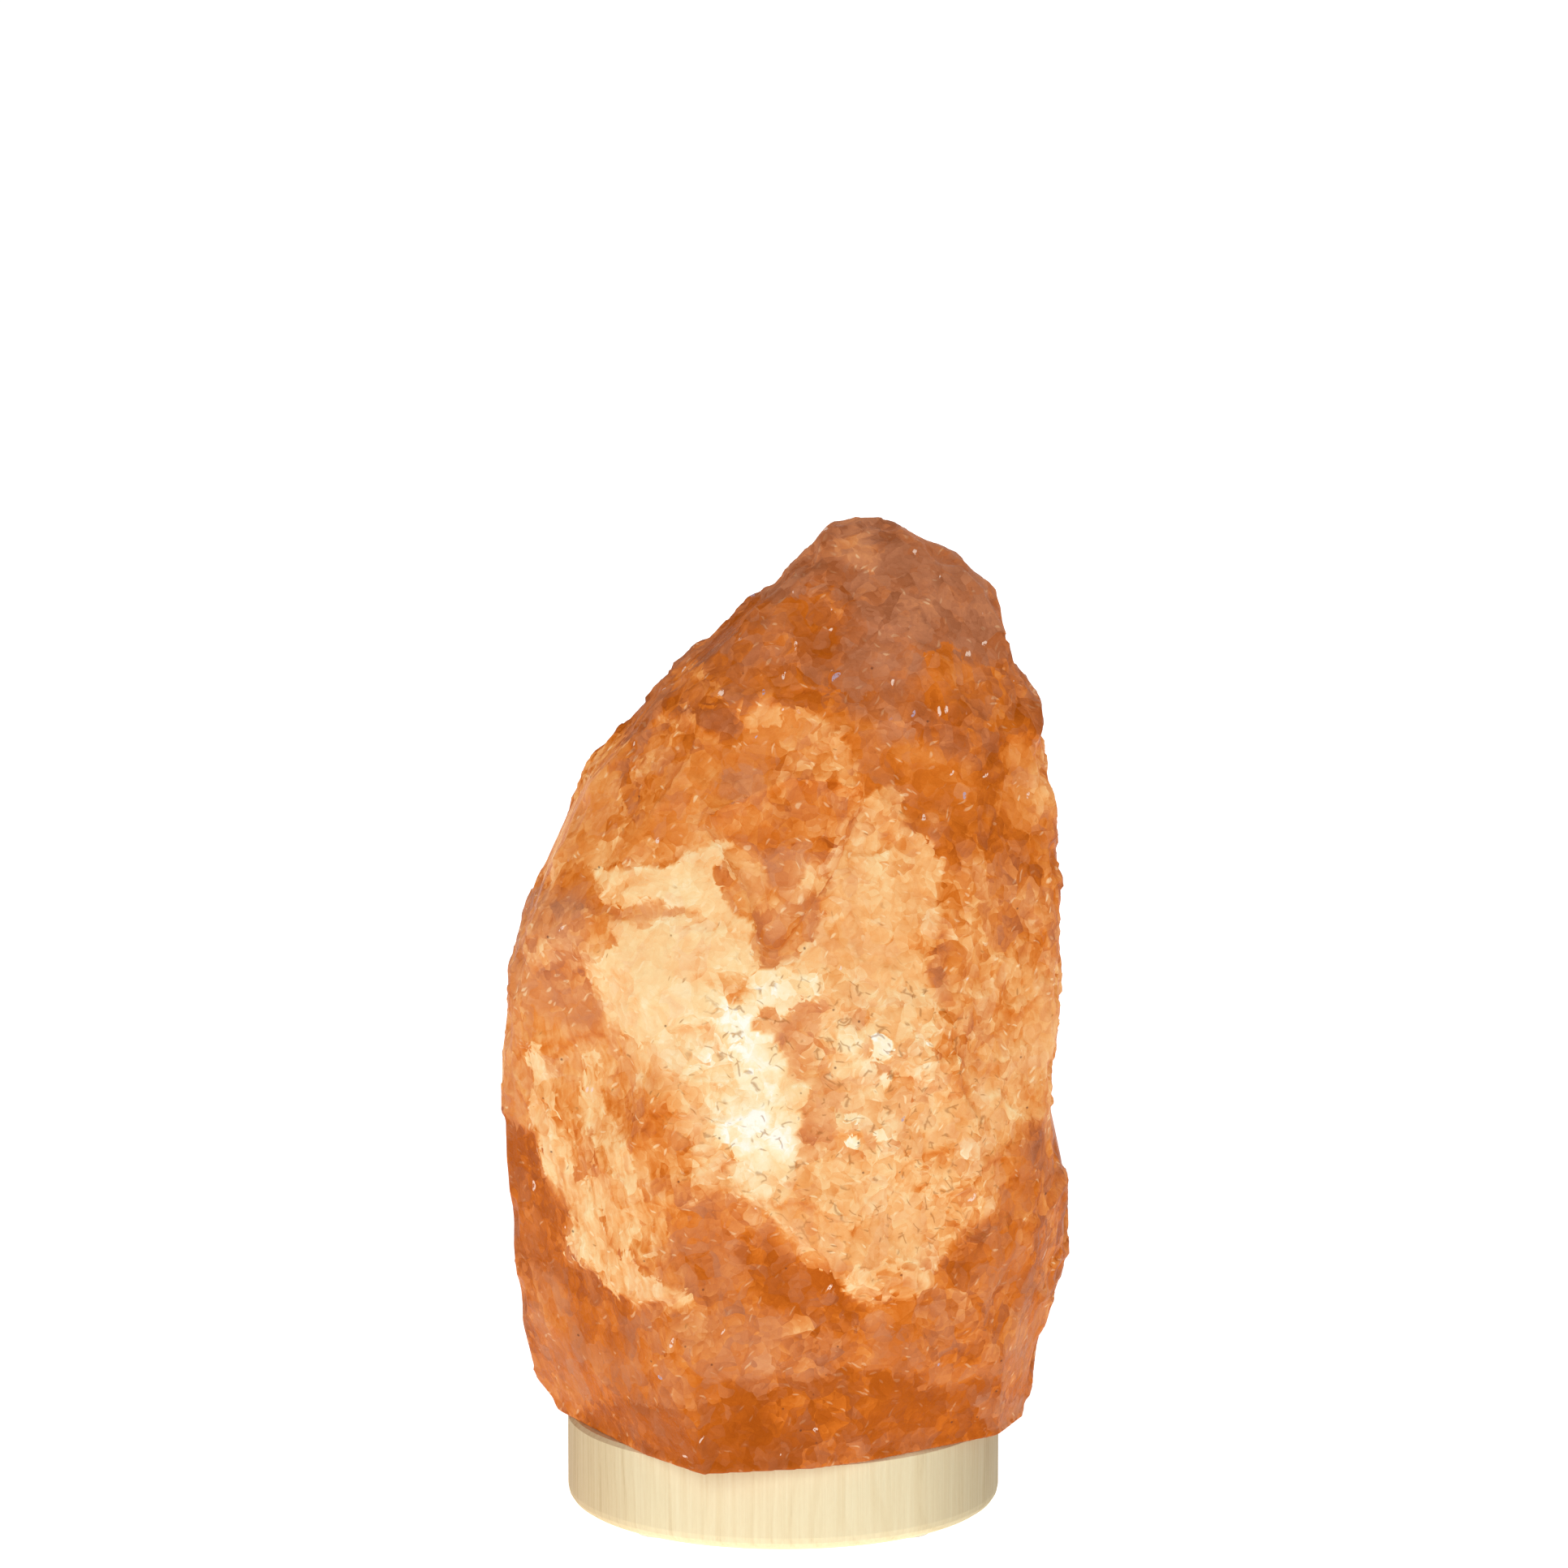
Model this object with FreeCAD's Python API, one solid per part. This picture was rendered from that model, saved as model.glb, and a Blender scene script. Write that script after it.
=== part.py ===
import FreeCAD, Part
import math
import os

# Salt crystal table lamp: a hewn block of rock salt on a turned wooden base,
# lit from inside by a small screw-in bulb that is pulled out from below.
# Millimetres. +Z is up, the lamp stands on z = 0 and its front faces -Y.

V = FreeCAD.Vector
UP = V(0, 0, 1)
os.makedirs("parts", exist_ok=True)

# ---------------------------------------------------------------- sizes
# Clearances
RUN_GAP = 0.3           # between pieces that move past or rest near each other
FIT_GAP = 0.05          # radial, between pieces screwed or pushed together
PAST = 1.0              # how far a cut runs past the face that it opens

# Foot pads
PAD_D = 12.0
PAD_H = 1.5
PAD_CIRCLE_D = 96.0
PAD_ANGLES = (45, 135, 225, 315)

# Wooden base
BASE_D = 120.0
BASE_H = 25.0
BASE_BOTTOM_ROUND = 4.0
BOTTOM_FLATS = 4        # short flats that the round is turned in
BASE_TOP_BEVEL = 1.0
BASE_HOLE_D = 42.0      # the spring fitting plugs in here
RECESS_D = 56.0         # underside recess that hides the fitting's flange
RECESS_DEPTH = 12.0
GROOVE_W = 9.0          # lets the lead out to the rear
GROOVE_DEPTH = 9.0

# Screws that hold the salt to the wood
SCREW_CIRCLE_D = 80.0
SCREW_ANGLES = (30, 150, 270)
SCREW_D = 4.0
SCREW_HEAD_D = 8.0
DRIVE_W = 0.8           # arms of the head's cross
DRIVE_DEPTH = 1.0
SCREW_BITE = 18.0       # length of screw above the wood, in the salt's plug
SCREW_SINK = 0.8        # head below the wood's underside
PLUG_D = 6.0
PLUG_L = 25.0

# Salt crystal: its drawn outlines are stretched to this size
CRYSTAL_W = 157.0
CRYSTAL_DEPTH = 159.0
CRYSTAL_H = 250.5

# Bore in the salt for the bulb
BORE_D = 46.0
BORE_DEPTH = 124.0
BORE_END_TAPER = 10.0   # the borer's tip leaves a taper this long

# Fitting flange, threaded tube and nut
FLANGE_D = 52.0
FLANGE_T = 1.2
TUBE_D = 10.0
TUBE_BORE_D = 6.6
TUBE_BELOW_FLANGE = 4.5
TUBE_IN_HOLDER = 4.0
NUT_AF = 14.0
NUT_H = 3.0

# Spring strap and the two bowed leaves that grip the base's hole
STRAP_W = 12.0
STRAP_T = 0.6
STRAP_HALF_L = 14.6
LEAF_RISE = 12.2
LEAF_BULGE_AT = 6.4     # height of the gripping bulge above the leaf's root
LEAF_TIP_IN = 3.0       # how far the tip leans back in from the bulge

# Lampholder
HOLDER_FOOT_D = 17.0
HOLDER_D = 28.0
HOLDER_WALL = 1.8
CAP_H = 23.0
CAP_SHOULDER_H = 13.0
SKIRT_H = 35.5
LEDGE_W = 1.5           # the contact block sits on it inside the cap
BLOCK_H = 14.0
TERMINAL_W = 5.0
TERMINAL_H = 7.0
TERMINAL_X = 6.0
TERMINAL_WALL = 0.4     # clamp metal under its screw
TERMINAL_SCREW_D = 3.0
TERMINAL_SCREW_L = 3.5
TERMINAL_SCREW_OUT = 0.5
SHELL_BORE_D = 14.3
SHELL_T = 0.5
SHELL_H = 17.0
SHELL_RIM_D = 20.0
TONGUE_W = 4.0
TONGUE_T = 0.5
TONGUE_LEG = 7.0
TONGUE_REACH = 4.0      # leg's distance from the axis
TONGUE_STAND = 2.6      # arm's height above the block

# Screw-in bulb
THREAD_D = 13.9
THREAD_L = 14.0
CAP_FLARE_D = 17.0
CAP_FLARE_L = 5.0
BULB_METAL_T = 0.3
CAP_BEVEL = 1.0
TIP_D = 5.0
TIP_LOW_D = 3.5
TIP_H = 1.2
INSULATOR_LOW_D = 6.0
INSULATOR_H = 3.2
GLASS_D = 28.0
GLASS_L = 60.0
GLASS_T = 0.7
GLASS_FOOT = 1.0        # glass starts this far up inside the cap's flare
GLASS_SHOULDER = 21.6   # height over the cap where the flank reaches full width
DOME_FLATS = 6          # short flats that the glass's round end is drawn in
STEM_D = 7.0
STEM_L = 19.0
PINCH_T = 3.0           # the stem's end is pinched flat on the leads
PINCH_H = 5.0
WIRE_D = 0.7
LEAD_SPREAD = 6.5
LEAD_KNEE = 1.0         # leads bend out this far above the stem
LEAD_RISE = 13.0        # lead tips above the top of the stem
FILAMENT_D = 0.9
FILAMENT_BOW = 3.0
FILAMENT_RUNS = 6

# ---------------------------------------------------------------- levels
wood_z = PAD_H
seat_z = wood_z + BASE_H                        # the salt sits here
recess_z = wood_z + RECESS_DEPTH                # the flange bears here
flange_top = recess_z - RUN_GAP
flange_z = flange_top - FLANGE_T
strap_top = flange_top + STRAP_T
cap_z = strap_top                               # the holder's foot
cap_top = cap_z + CAP_H
ledge_z = cap_z + CAP_SHOULDER_H + HOLDER_WALL / 2
holder_bore_r = HOLDER_D / 2 - HOLDER_WALL
block_r = holder_bore_r - SHELL_T - 2 * FIT_GAP
block_z = ledge_z + FIT_GAP
block_top = block_z + BLOCK_H
tongue_top = block_top + TONGUE_STAND
bulb_tip_z = tongue_top + FIT_GAP
insulator_z = bulb_tip_z + TIP_H
thread_z = insulator_z + INSULATOR_H
flare_z = thread_z + THREAD_L
glass_z = flare_z + CAP_FLARE_L
glass_top = glass_z + GLASS_L


# ---------------------------------------------------------------- helpers
def tube(d_out, d_in, z, height):
    ring = Part.makeCylinder(d_out / 2, height, V(0, 0, z))
    return ring.cut(hole(d_in, z, height))


def disc(d, z, height, at=(0, 0)):
    return Part.makeCylinder(d / 2, height, V(at[0], at[1], z))


def hole(d, z, height, at=(0, 0)):
    """Round cutter that runs past both ends of a span."""
    return disc(d, z - PAST, height + 2 * PAST, at)


def cone(d_low, d_high, z, height, at=(0, 0)):
    return Part.makeCone(d_low / 2, d_high / 2, height, V(at[0], at[1], z))


def block(width, depth, height, centre, z):
    corner = V(centre[0] - width / 2, centre[1] - depth / 2, z)
    return Part.makeBox(width, depth, height, corner)


def lathe(profile):
    """Solid of revolution about the lamp's axis from (radius, height) points."""
    points = [V(r, 0, z) for r, z in profile]
    face = Part.Face(Part.makePolygon(points + points[:1]))
    return face.revolve(V(0, 0, 0), UP, 360)


def around(circle_d, angles):
    """Points on a circle about the lamp's axis."""
    spots = []
    for angle in angles:
        turn = math.radians(angle)
        spots.append((circle_d / 2 * math.cos(turn), circle_d / 2 * math.sin(turn)))
    return spots


def group(shapes):
    return shapes[0] if len(shapes) == 1 else Part.makeCompound(shapes)


def prism(outline, axis, low, high):
    """Outline of two coordinates, extruded along the third one."""
    points = []
    for a, b in outline:
        points.append({"x": V(low, a, b), "y": V(a, low, b), "z": V(a, b, low)}[axis])
    face = Part.Face(Part.makePolygon(points + points[:1]))
    run = {"x": V(1, 0, 0), "y": V(0, 1, 0), "z": UP}[axis]
    return face.extrude(run * (high - low))


# ---------------------------------------------------------------- salt crystal
# The hewn block is the space shared by three outlines, then chipped. Heights are
# above the seat. The front outline is the one that shows: apex right of centre, a
# long slope down to the left and an undercut foot.
FRONT_OUTLINE = (
    (-62, 0), (-69.5, 7), (-73, 24), (-75, 45), (-77, 75), (-77.5, 108), (-76, 121),
    (-72, 137), (-66, 153), (-58, 170), (-53.5, 180), (-43, 192), (-32.5, 204),
    (-21, 215), (-11.5, 224), (-1, 233), (5, 239), (11, 246), (16, 250.5),
    (26, 250.5), (35, 246), (49, 239), (59, 229), (62, 212), (69.5, 202),
    (72, 184), (74.5, 168), (76, 148), (76, 118), (73.5, 90), (78.5, 68),
    (79.5, 49), (77, 36), (72.5, 21), (69, 5), (66, 0),
)
SIDE_OUTLINE = (
    (-78, 0), (-80, 18), (-79, 60), (-75, 98), (-69, 132), (-60, 166), (-48, 198),
    (-31, 227), (-12, 246), (4, 251), (18, 246), (34, 229), (50, 200), (63, 165),
    (73, 124), (79, 82), (78, 43), (73, 14), (66, 0),
)
PLAN_OUTLINE = (
    (-78, 6), (-77, -18), (-68, -42), (-50, -62), (-28, -76), (-6, -80), (20, -75),
    (46, -64), (66, -47), (77, -24), (79.5, 2), (77, 28), (66, 50), (44, 67),
    (16, 78), (-14, 79), (-42, 69), (-64, 48), (-75, 26),
)

# Flat breaks: a point on the break (x, y, height) and where it faces, as a
# bearing (0 = +X, 90 = rear, 270 = front) and a tilt up from level.
BREAKS = (
    # undercut foot, left to right along the front
    ((-50, -29, 0), 208, -20), ((-30, -62, 0), 218, -22), ((16, -64, 0), 307, -22),
    ((44, -48, 0), 297, -22), ((62, -24, 0), 340, -12),
    # front, bottom to top
    ((-62, -31, 44), 214, -6), ((-53, -57, 92), 230, 4), ((-2, -75, 98), 268, 6),
    ((40, -64, 70), 297, -3), ((65, -43, 98), 318, 3), ((-34, -60, 152), 245, 21),
    ((28, -60, 150), 286, 15), ((60, -40, 166), 314, 12), ((-54, -28, 172), 216, 32),
    ((2, -44, 204), 262, 35), ((40, -38, 216), 298, 36), ((-22, -24, 216), 226, 45),
    ((64, -8, 224), 338, 34), ((20, -10, 246), 270, 66),
    # sides and rear
    ((-71, 22, 60), 158, -5), ((-67, 34, 118), 146, 12), ((-47, 36, 176), 134, 36),
    ((-28, 64, 108), 112, 8), ((10, 74, 68), 84, -4), ((4, 60, 156), 94, 22),
    ((45, 60, 108), 52, 8), ((69, 36, 58), 26, -6), ((64, 38, 168), 34, 24),
    ((28, 34, 220), 62, 46), ((-12, 28, 216), 122, 48), ((76, 4, 166), 2, 10),
    ((50, 52, 6), 46, -18), ((-50, 50, 6), 138, -18), ((-4, 68, 4), 92, -20),
)

# Shell-shaped breaks: the deepest point of each hollow, where it faces, given as in
# BREAKS, and its radius.
SHELLS = (
    ((-6, -47, 190), 262, 27, 60), ((-49, -49, 112), 225, 2, 60),
    ((-10, -73, 60), 262, -4, 60), ((61, -43, 40), 325, -8, 55),
    ((-54, 31, 80), 150, -4, 60), ((6, 67, 128), 86, 14, 70),
    ((65, 24, 130), 20, 4, 60), ((-19, 36, 195), 118, 33, 50),
    ((51, 57, 50), 48, 0, 60),
)

# Bites out of the edges that the front view outlines: the side (-1 = left, 1 = right),
# the height, and how far the bite faces up from level.
BITE_R = 10.0
BITE_DEPTH = 2.0
CHISEL_TURNS = (0, 30, 60)   # of the cubes that the many-sided cutter is made from
CHISEL_AXIS = V(1, 2, 0.5)
BITES = (
    (-1, 241, 50), (-1, 230, 48), (-1, 218, 45), (-1, 208, 45), (-1, 196, 42),
    (-1, 184, 40), (-1, 173, 24), (-1, 154, 22), (-1, 136, 16), (-1, 112, 2),
    (-1, 87, 0), (-1, 56, -2), (-1, 32, -4), (1, 242, 56), (1, 229, 30),
    (1, 188, 8), (1, 161, 4), (1, 127, 0), (1, 104, 0), (1, 78, 8),
    (1, 56, -4), (1, 38, -10), (1, 18, -12),
)

# Steps where a slab has come away: its outline (x, height) on one side of the block
# (-1 = front, 1 = rear), and the break behind it, given as in BREAKS.
SLABS = (
    # notch between the two upper plates
    (-1, ((-21, 176), (-11, 160), (-5, 143), (-1, 143), (13, 163), (22, 184), (2, 186)),
     (0, -54, 164), 268, 14),
    # lower left shoulder, under the bright ledge
    (-1, ((-90, 104), (-72, 104), (-60, 78), (-56, 52), (-38, 43), (-34, -5), (-90, -5)),
     (-56, -46, 50), 222, -5),
    # diagonal ledge at the lower right
    (-1, ((-17, 80), (-3, 73), (11, 60), (14, 52), (28, 50), (41, 43), (90, 30),
          (90, -5), (-20, -5), (-26, 50)),
     (14, -70, 44), 281, -6),
    # band along the foot
    (-1, ((-60, 21), (-19, 22), (17, 27), (36, 23), (60, 25), (60, -5), (-60, -5)),
     (0, -75, 10), 270, -9),
    # step down the upper right shoulder
    (-1, ((34, 176), (46, 180), (62, 176), (90, 178), (90, 262), (24, 262), (28, 204)),
     (56, -36, 196), 312, 25),
    # corner lost from the rear left, and a long flake from the rear right
    (1, ((-90, 150), (-58, 146), (-44, 118), (-36, 84), (-48, 58), (-90, 50)),
     (-62, 44, 100), 140, 7),
    (1, ((16, 212), (30, 170), (26, 128), (42, 92), (90, 84), (90, 220)),
     (52, 46, 150), 44, 21),
)


def span(outline, axis):
    values = [point[axis] for point in outline]
    return max(values) - min(values)


def stretch():
    """Ratios of the crystal's size to the size that its outlines are drawn at."""
    return (CRYSTAL_W / span(FRONT_OUTLINE, 0), CRYSTAL_DEPTH / span(SIDE_OUTLINE, 0),
            CRYSTAL_H / span(FRONT_OUTLINE, 1))


def stretched(outline, first, second):
    """Outline at the crystal's size; axis 2, the height, starts at the seat."""
    ratio = stretch()
    rise = {2: seat_z}
    return [(a * ratio[first], rise.get(second, 0) + b * ratio[second])
            for a, b in outline]


def in_block(point):
    ratio = stretch()
    return V(point[0] * ratio[0], point[1] * ratio[1], seat_z + point[2] * ratio[2])


def cutter_reach():
    """Far enough for a cutter to run past the block on every side."""
    return max(CRYSTAL_W, CRYSTAL_DEPTH, CRYSTAL_H)


def facing(bearing, tilt):
    turn = math.radians(bearing)
    rise = math.radians(tilt)
    return V(math.cos(turn) * math.cos(rise), math.sin(turn) * math.cos(rise),
             math.sin(rise))


def half_space(point, bearing, tilt):
    """Everything outside a flat break."""
    reach = cutter_reach()
    slab = Part.makeBox(2 * reach, 2 * reach, reach, V(-reach, -reach, 0))
    turned = FreeCAD.Rotation(UP, facing(bearing, tilt))
    slab.Placement = FreeCAD.Placement(in_block(point), turned)
    return slab


def hollow(point, bearing, tilt, radius):
    """Ball whose inner side makes a shell-shaped break."""
    ball_r = radius * sum(stretch()) / 3
    return Part.makeSphere(ball_r, in_block(point) + facing(bearing, tilt) * ball_r)


def chisel(centre, out):
    """Many-sided cutter, roughly a ball: cubes turned against one another."""
    reach = BITE_R
    cutter = None
    for turn in CHISEL_TURNS:
        cube = Part.makeBox(2 * reach, 2 * reach, 2 * reach, V(-reach, -reach, -reach))
        turned = FreeCAD.Rotation(UP, out) * FreeCAD.Rotation(CHISEL_AXIS, turn)
        cube.Placement = FreeCAD.Placement(centre, turned)
        cutter = cube if cutter is None else cutter.common(cube)
    return cutter


def bite(body, side, height, tilt):
    """Cutter set where the block reaches furthest to one side."""
    wires = body.slice(UP, in_block((0, 0, height)).z)
    spots = [vertex.Point for wire in wires for vertex in wire.Vertexes]
    edge = max(spots, key=lambda spot: side * spot.x)
    out = facing(90 - 90 * side, tilt)
    return chisel(edge + out * (BITE_R - BITE_DEPTH), out)


def hewn_block():
    reach = cutter_reach()
    top = seat_z + reach
    body = prism(stretched(FRONT_OUTLINE, 0, 2), "y", -reach, reach)
    body = body.common(prism(stretched(SIDE_OUTLINE, 1, 2), "x", -reach, reach))
    body = body.common(prism(stretched(PLAN_OUTLINE, 0, 1), "z", seat_z, top))
    for point, bearing, tilt in BREAKS:
        body = body.cut(half_space(point, bearing, tilt))
    for point, bearing, tilt, radius in SHELLS:
        body = body.cut(hollow(point, bearing, tilt, radius))
    for side, outline, point, bearing, tilt in SLABS:
        column = prism(stretched(outline, 0, 2), "y", 0, side * reach)
        body = body.cut(column.common(half_space(point, bearing, tilt)))
    for side, height, tilt in BITES:
        body = body.cut(bite(body, side, height, tilt))
    return body


def bulb_bore():
    taper_z = seat_z + BORE_DEPTH - BORE_END_TAPER
    barrel = disc(BORE_D, seat_z - PAST, taper_z - seat_z + PAST)
    return barrel.fuse(cone(BORE_D, BORE_D - 2 * BORE_END_TAPER, taper_z,
                            BORE_END_TAPER))


def salt_crystal():
    body = hewn_block().cut(bulb_bore())
    for spot in around(SCREW_CIRCLE_D, SCREW_ANGLES):
        body = body.cut(hole(PLUG_D + 2 * FIT_GAP, seat_z, PLUG_L, spot))
    return body


# ---------------------------------------------------------------- wooden base
def base_profile():
    """Half section of the turned base, with its bottom edge rounded in short flats."""
    rim = BASE_D / 2
    round_r = min(BASE_BOTTOM_ROUND, BASE_H / 2)
    bevel = min(BASE_TOP_BEVEL, BASE_H / 4)
    bore = BASE_HOLE_D / 2
    edge = []
    for step in range(BOTTOM_FLATS + 1):
        turn = math.radians(90 * step / BOTTOM_FLATS)
        edge.append((rim - round_r + round_r * math.sin(turn),
                     wood_z + round_r - round_r * math.cos(turn)))
    return ([(bore, recess_z), (RECESS_D / 2, recess_z), (RECESS_D / 2, wood_z)] + edge
            + [(rim, seat_z - bevel), (rim - bevel, seat_z), (bore, seat_z)])


def wooden_base():
    wood = lathe(base_profile())
    groove = block(GROOVE_W, BASE_D, GROOVE_DEPTH + PAST, (0, BASE_D / 2), wood_z - PAST)
    wood = wood.cut(groove)
    for spot in around(SCREW_CIRCLE_D, SCREW_ANGLES):
        wood = wood.cut(hole(SCREW_D + 2 * FIT_GAP, wood_z, BASE_H, spot))
        wood = wood.cut(countersink(spot))
    return wood


def head_height():
    return (SCREW_HEAD_D - SCREW_D) / 2


def countersink(spot):
    """Room for a screw's head, with the head below the surface."""
    seat = wood_z + SCREW_SINK
    well = disc(SCREW_HEAD_D + 2 * FIT_GAP, wood_z - PAST, SCREW_SINK + PAST, spot)
    funnel = cone(SCREW_HEAD_D + 2 * FIT_GAP, SCREW_D + 2 * FIT_GAP, seat,
                  head_height(), spot)
    return well.fuse(funnel)


def foot_pads():
    return group([disc(PAD_D, 0, PAD_H, spot)
                  for spot in around(PAD_CIRCLE_D, PAD_ANGLES)])


def base_screws():
    screws = []
    for spot in around(SCREW_CIRCLE_D, SCREW_ANGLES):
        seat = wood_z + SCREW_SINK
        head = cone(SCREW_HEAD_D, SCREW_D, seat, head_height(), spot)
        shank_top = seat_z + SCREW_BITE - SCREW_D
        shank = disc(SCREW_D, seat + head_height(), shank_top - seat - head_height(),
                     spot)
        point = cone(SCREW_D, SCREW_D / 4, shank_top, SCREW_D, spot)
        deep = DRIVE_DEPTH + PAST
        drive = block(SCREW_D, DRIVE_W, deep, spot, seat - PAST)
        drive = drive.fuse(block(DRIVE_W, SCREW_D, deep, spot, seat - PAST))
        screws.append(head.fuse(shank).fuse(point).cut(drive).removeSplitter())
    return group(screws)


def screw_plugs():
    plugs = []
    for spot in around(SCREW_CIRCLE_D, SCREW_ANGLES):
        plug = disc(PLUG_D, seat_z + FIT_GAP, PLUG_L, spot)
        plugs.append(plug.cut(hole(SCREW_D + 2 * FIT_GAP, seat_z, PLUG_L, spot)))
    return group(plugs)


# ---------------------------------------------------------------- spring fitting
def fitting_flange():
    plate = disc(FLANGE_D, flange_z, FLANGE_T)
    return plate.cut(hole(TUBE_D + 2 * FIT_GAP, flange_z, FLANGE_T))


def threaded_tube():
    low = flange_z - TUBE_BELOW_FLANGE
    high = cap_z + HOLDER_WALL + TUBE_IN_HOLDER
    return tube(TUBE_D, TUBE_BORE_D, low, high - low)


def tube_nut():
    corner = NUT_AF / math.sqrt(3)
    hexagon = [(corner * math.cos(math.radians(60 * i)),
                corner * math.sin(math.radians(60 * i))) for i in range(6)]
    nut = prism(hexagon, "z", flange_z - NUT_H, flange_z)
    return nut.cut(hole(TUBE_D + 2 * FIT_GAP, flange_z - NUT_H, NUT_H))


def spring_strap():
    strip = block(2 * STRAP_HALF_L, STRAP_W, STRAP_T, (0, 0), flange_top)
    return strip.cut(hole(TUBE_D + 2 * FIT_GAP, flange_top, STRAP_T))


def leaf_bulge_x():
    """Where a flat leaf's outer face comes a running gap short of the hole's wall."""
    reach = BASE_HOLE_D / 2 - RUN_GAP
    return math.sqrt(reach ** 2 - (STRAP_W / 2) ** 2)


def spring_leaf(side):
    """Bowed leaf: up and out from the strap's end, then back in at the tip."""
    root_x = STRAP_HALF_L + RUN_GAP + STRAP_T
    bulge_x = leaf_bulge_x()
    low = flange_top + FIT_GAP
    outer = [V(root_x, 0, low), V(bulge_x, 0, low + LEAF_BULGE_AT),
             V(bulge_x - LEAF_TIP_IN, 0, low + LEAF_RISE)]
    bow = Part.Arc(outer[0], outer[1], outer[2])
    inner = Part.Arc(*[p - V(STRAP_T, 0, 0) for p in outer])
    ends = [Part.makeLine(outer[2], outer[2] - V(STRAP_T, 0, 0)),
            Part.makeLine(outer[0] - V(STRAP_T, 0, 0), outer[0])]
    wire = Part.Wire(Part.__sortEdges__([bow.toShape(), inner.toShape()] + ends))
    leaf = Part.Face(wire).extrude(V(0, STRAP_W, 0))
    leaf.translate(V(0, -STRAP_W / 2, 0))
    if side < 0:
        leaf = leaf.mirror(V(0, 0, 0), V(1, 0, 0))
    return leaf


# ---------------------------------------------------------------- lampholder
def holder_cap():
    foot_r = HOLDER_FOOT_D / 2
    top_r = HOLDER_D / 2
    wall = HOLDER_WALL
    room_r = block_r - LEDGE_W
    room_z = terminal_low() - RUN_GAP
    throat_r = foot_r - wall / 2
    shell = lathe([
        (0, cap_z), (foot_r, cap_z), (top_r, cap_z + CAP_SHOULDER_H), (top_r, cap_top),
        (holder_bore_r, cap_top), (holder_bore_r, ledge_z), (room_r, ledge_z),
        (room_r, room_z), (throat_r, room_z), (throat_r, cap_z + wall), (0, cap_z + wall),
    ])
    return shell.cut(hole(TUBE_D + 2 * FIT_GAP, cap_z, wall))


def holder_skirt():
    """Sleeve on top of the cap, with an inner rim that traps the screw shell."""
    low = cap_top + FIT_GAP
    wall = HOLDER_WALL
    top_r = HOLDER_D / 2
    sleeve = lathe([
        (holder_bore_r, low), (top_r, low), (top_r, low + SKIRT_H - wall),
        (top_r - wall / 2, low + SKIRT_H), (holder_bore_r, low + SKIRT_H),
    ])
    rib = tube(HOLDER_D - wall, SHELL_BORE_D + 2 * SHELL_T + 2 * RUN_GAP,
               block_top + 2 * SHELL_T + FIT_GAP, wall)
    return sleeve.fuse(rib).removeSplitter()


def contact_block():
    body = disc(2 * block_r, block_z, BLOCK_H)
    slot = block(TONGUE_T + 2 * FIT_GAP, TONGUE_W + 2 * FIT_GAP, BLOCK_H,
                 (-TONGUE_REACH, 0), tongue_top - TONGUE_LEG - RUN_GAP)
    body = body.cut(slot)
    for x in (-TERMINAL_X, TERMINAL_X):
        pocket = block(TERMINAL_W + 2 * FIT_GAP, TERMINAL_W + 2 * FIT_GAP,
                       TERMINAL_H / 2 + PAST, (x, 0), block_z - PAST)
        body = body.cut(pocket)
    return body


def screw_shell():
    wall = tube(SHELL_BORE_D + 2 * SHELL_T, SHELL_BORE_D, block_top, SHELL_H)
    rim = tube(SHELL_RIM_D, SHELL_BORE_D, block_top, SHELL_T)
    return wall.fuse(rim).removeSplitter()


def side_contact():
    """Brass strip from under the shell's rim down the block to one terminal."""
    strip = block(SHELL_T + FIT_GAP, TONGUE_W, BLOCK_H, (block_r + SHELL_T / 2, 0),
                  block_z)
    room = tube(2 * (holder_bore_r - FIT_GAP), 2 * block_r, block_z, BLOCK_H)
    return strip.common(room)


def terminal_low():
    return block_z - TERMINAL_H / 2


def terminal_bore_z():
    return terminal_low() + TERMINAL_SCREW_D / 2 + TERMINAL_WALL


def terminal_clamps():
    clamps = []
    for x in (-TERMINAL_X, TERMINAL_X):
        clamp = block(TERMINAL_W, TERMINAL_W, TERMINAL_H, (x, 0), terminal_low())
        start = V(x, -TERMINAL_W / 2 - PAST, terminal_bore_z())
        clamps.append(clamp.cut(Part.makeCylinder(
            TERMINAL_SCREW_D / 2 + FIT_GAP, TERMINAL_W + 2 * PAST, start, V(0, 1, 0))))
    return group(clamps)


def terminal_screws():
    screws = []
    for x in (-TERMINAL_X, TERMINAL_X):
        start = V(x, -TERMINAL_W / 2 - TERMINAL_SCREW_OUT, terminal_bore_z())
        screws.append(Part.makeCylinder(TERMINAL_SCREW_D / 2, TERMINAL_SCREW_L, start,
                                        V(0, 1, 0)))
    return group(screws)


def centre_contact():
    """Sprung tongue: a leg in the block's slot and an arm under the bulb's tip."""
    arm = block(TONGUE_REACH + TIP_D / 2 + TONGUE_T / 2, TONGUE_W, TONGUE_T,
                ((TIP_D / 2 - TONGUE_REACH - TONGUE_T / 2) / 2, 0), tongue_top - TONGUE_T)
    leg = block(TONGUE_T, TONGUE_W, TONGUE_LEG, (-TONGUE_REACH, 0),
                tongue_top - TONGUE_LEG)
    return arm.fuse(leg).removeSplitter()


# ---------------------------------------------------------------- bulb
def bulb_tip():
    return cone(TIP_LOW_D, TIP_D, bulb_tip_z, TIP_H)


def bulb_insulator():
    top_d = THREAD_D - 2 * BULB_METAL_T - CAP_BEVEL
    return cone(INSULATOR_LOW_D, top_d, insulator_z, INSULATOR_H)


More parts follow.
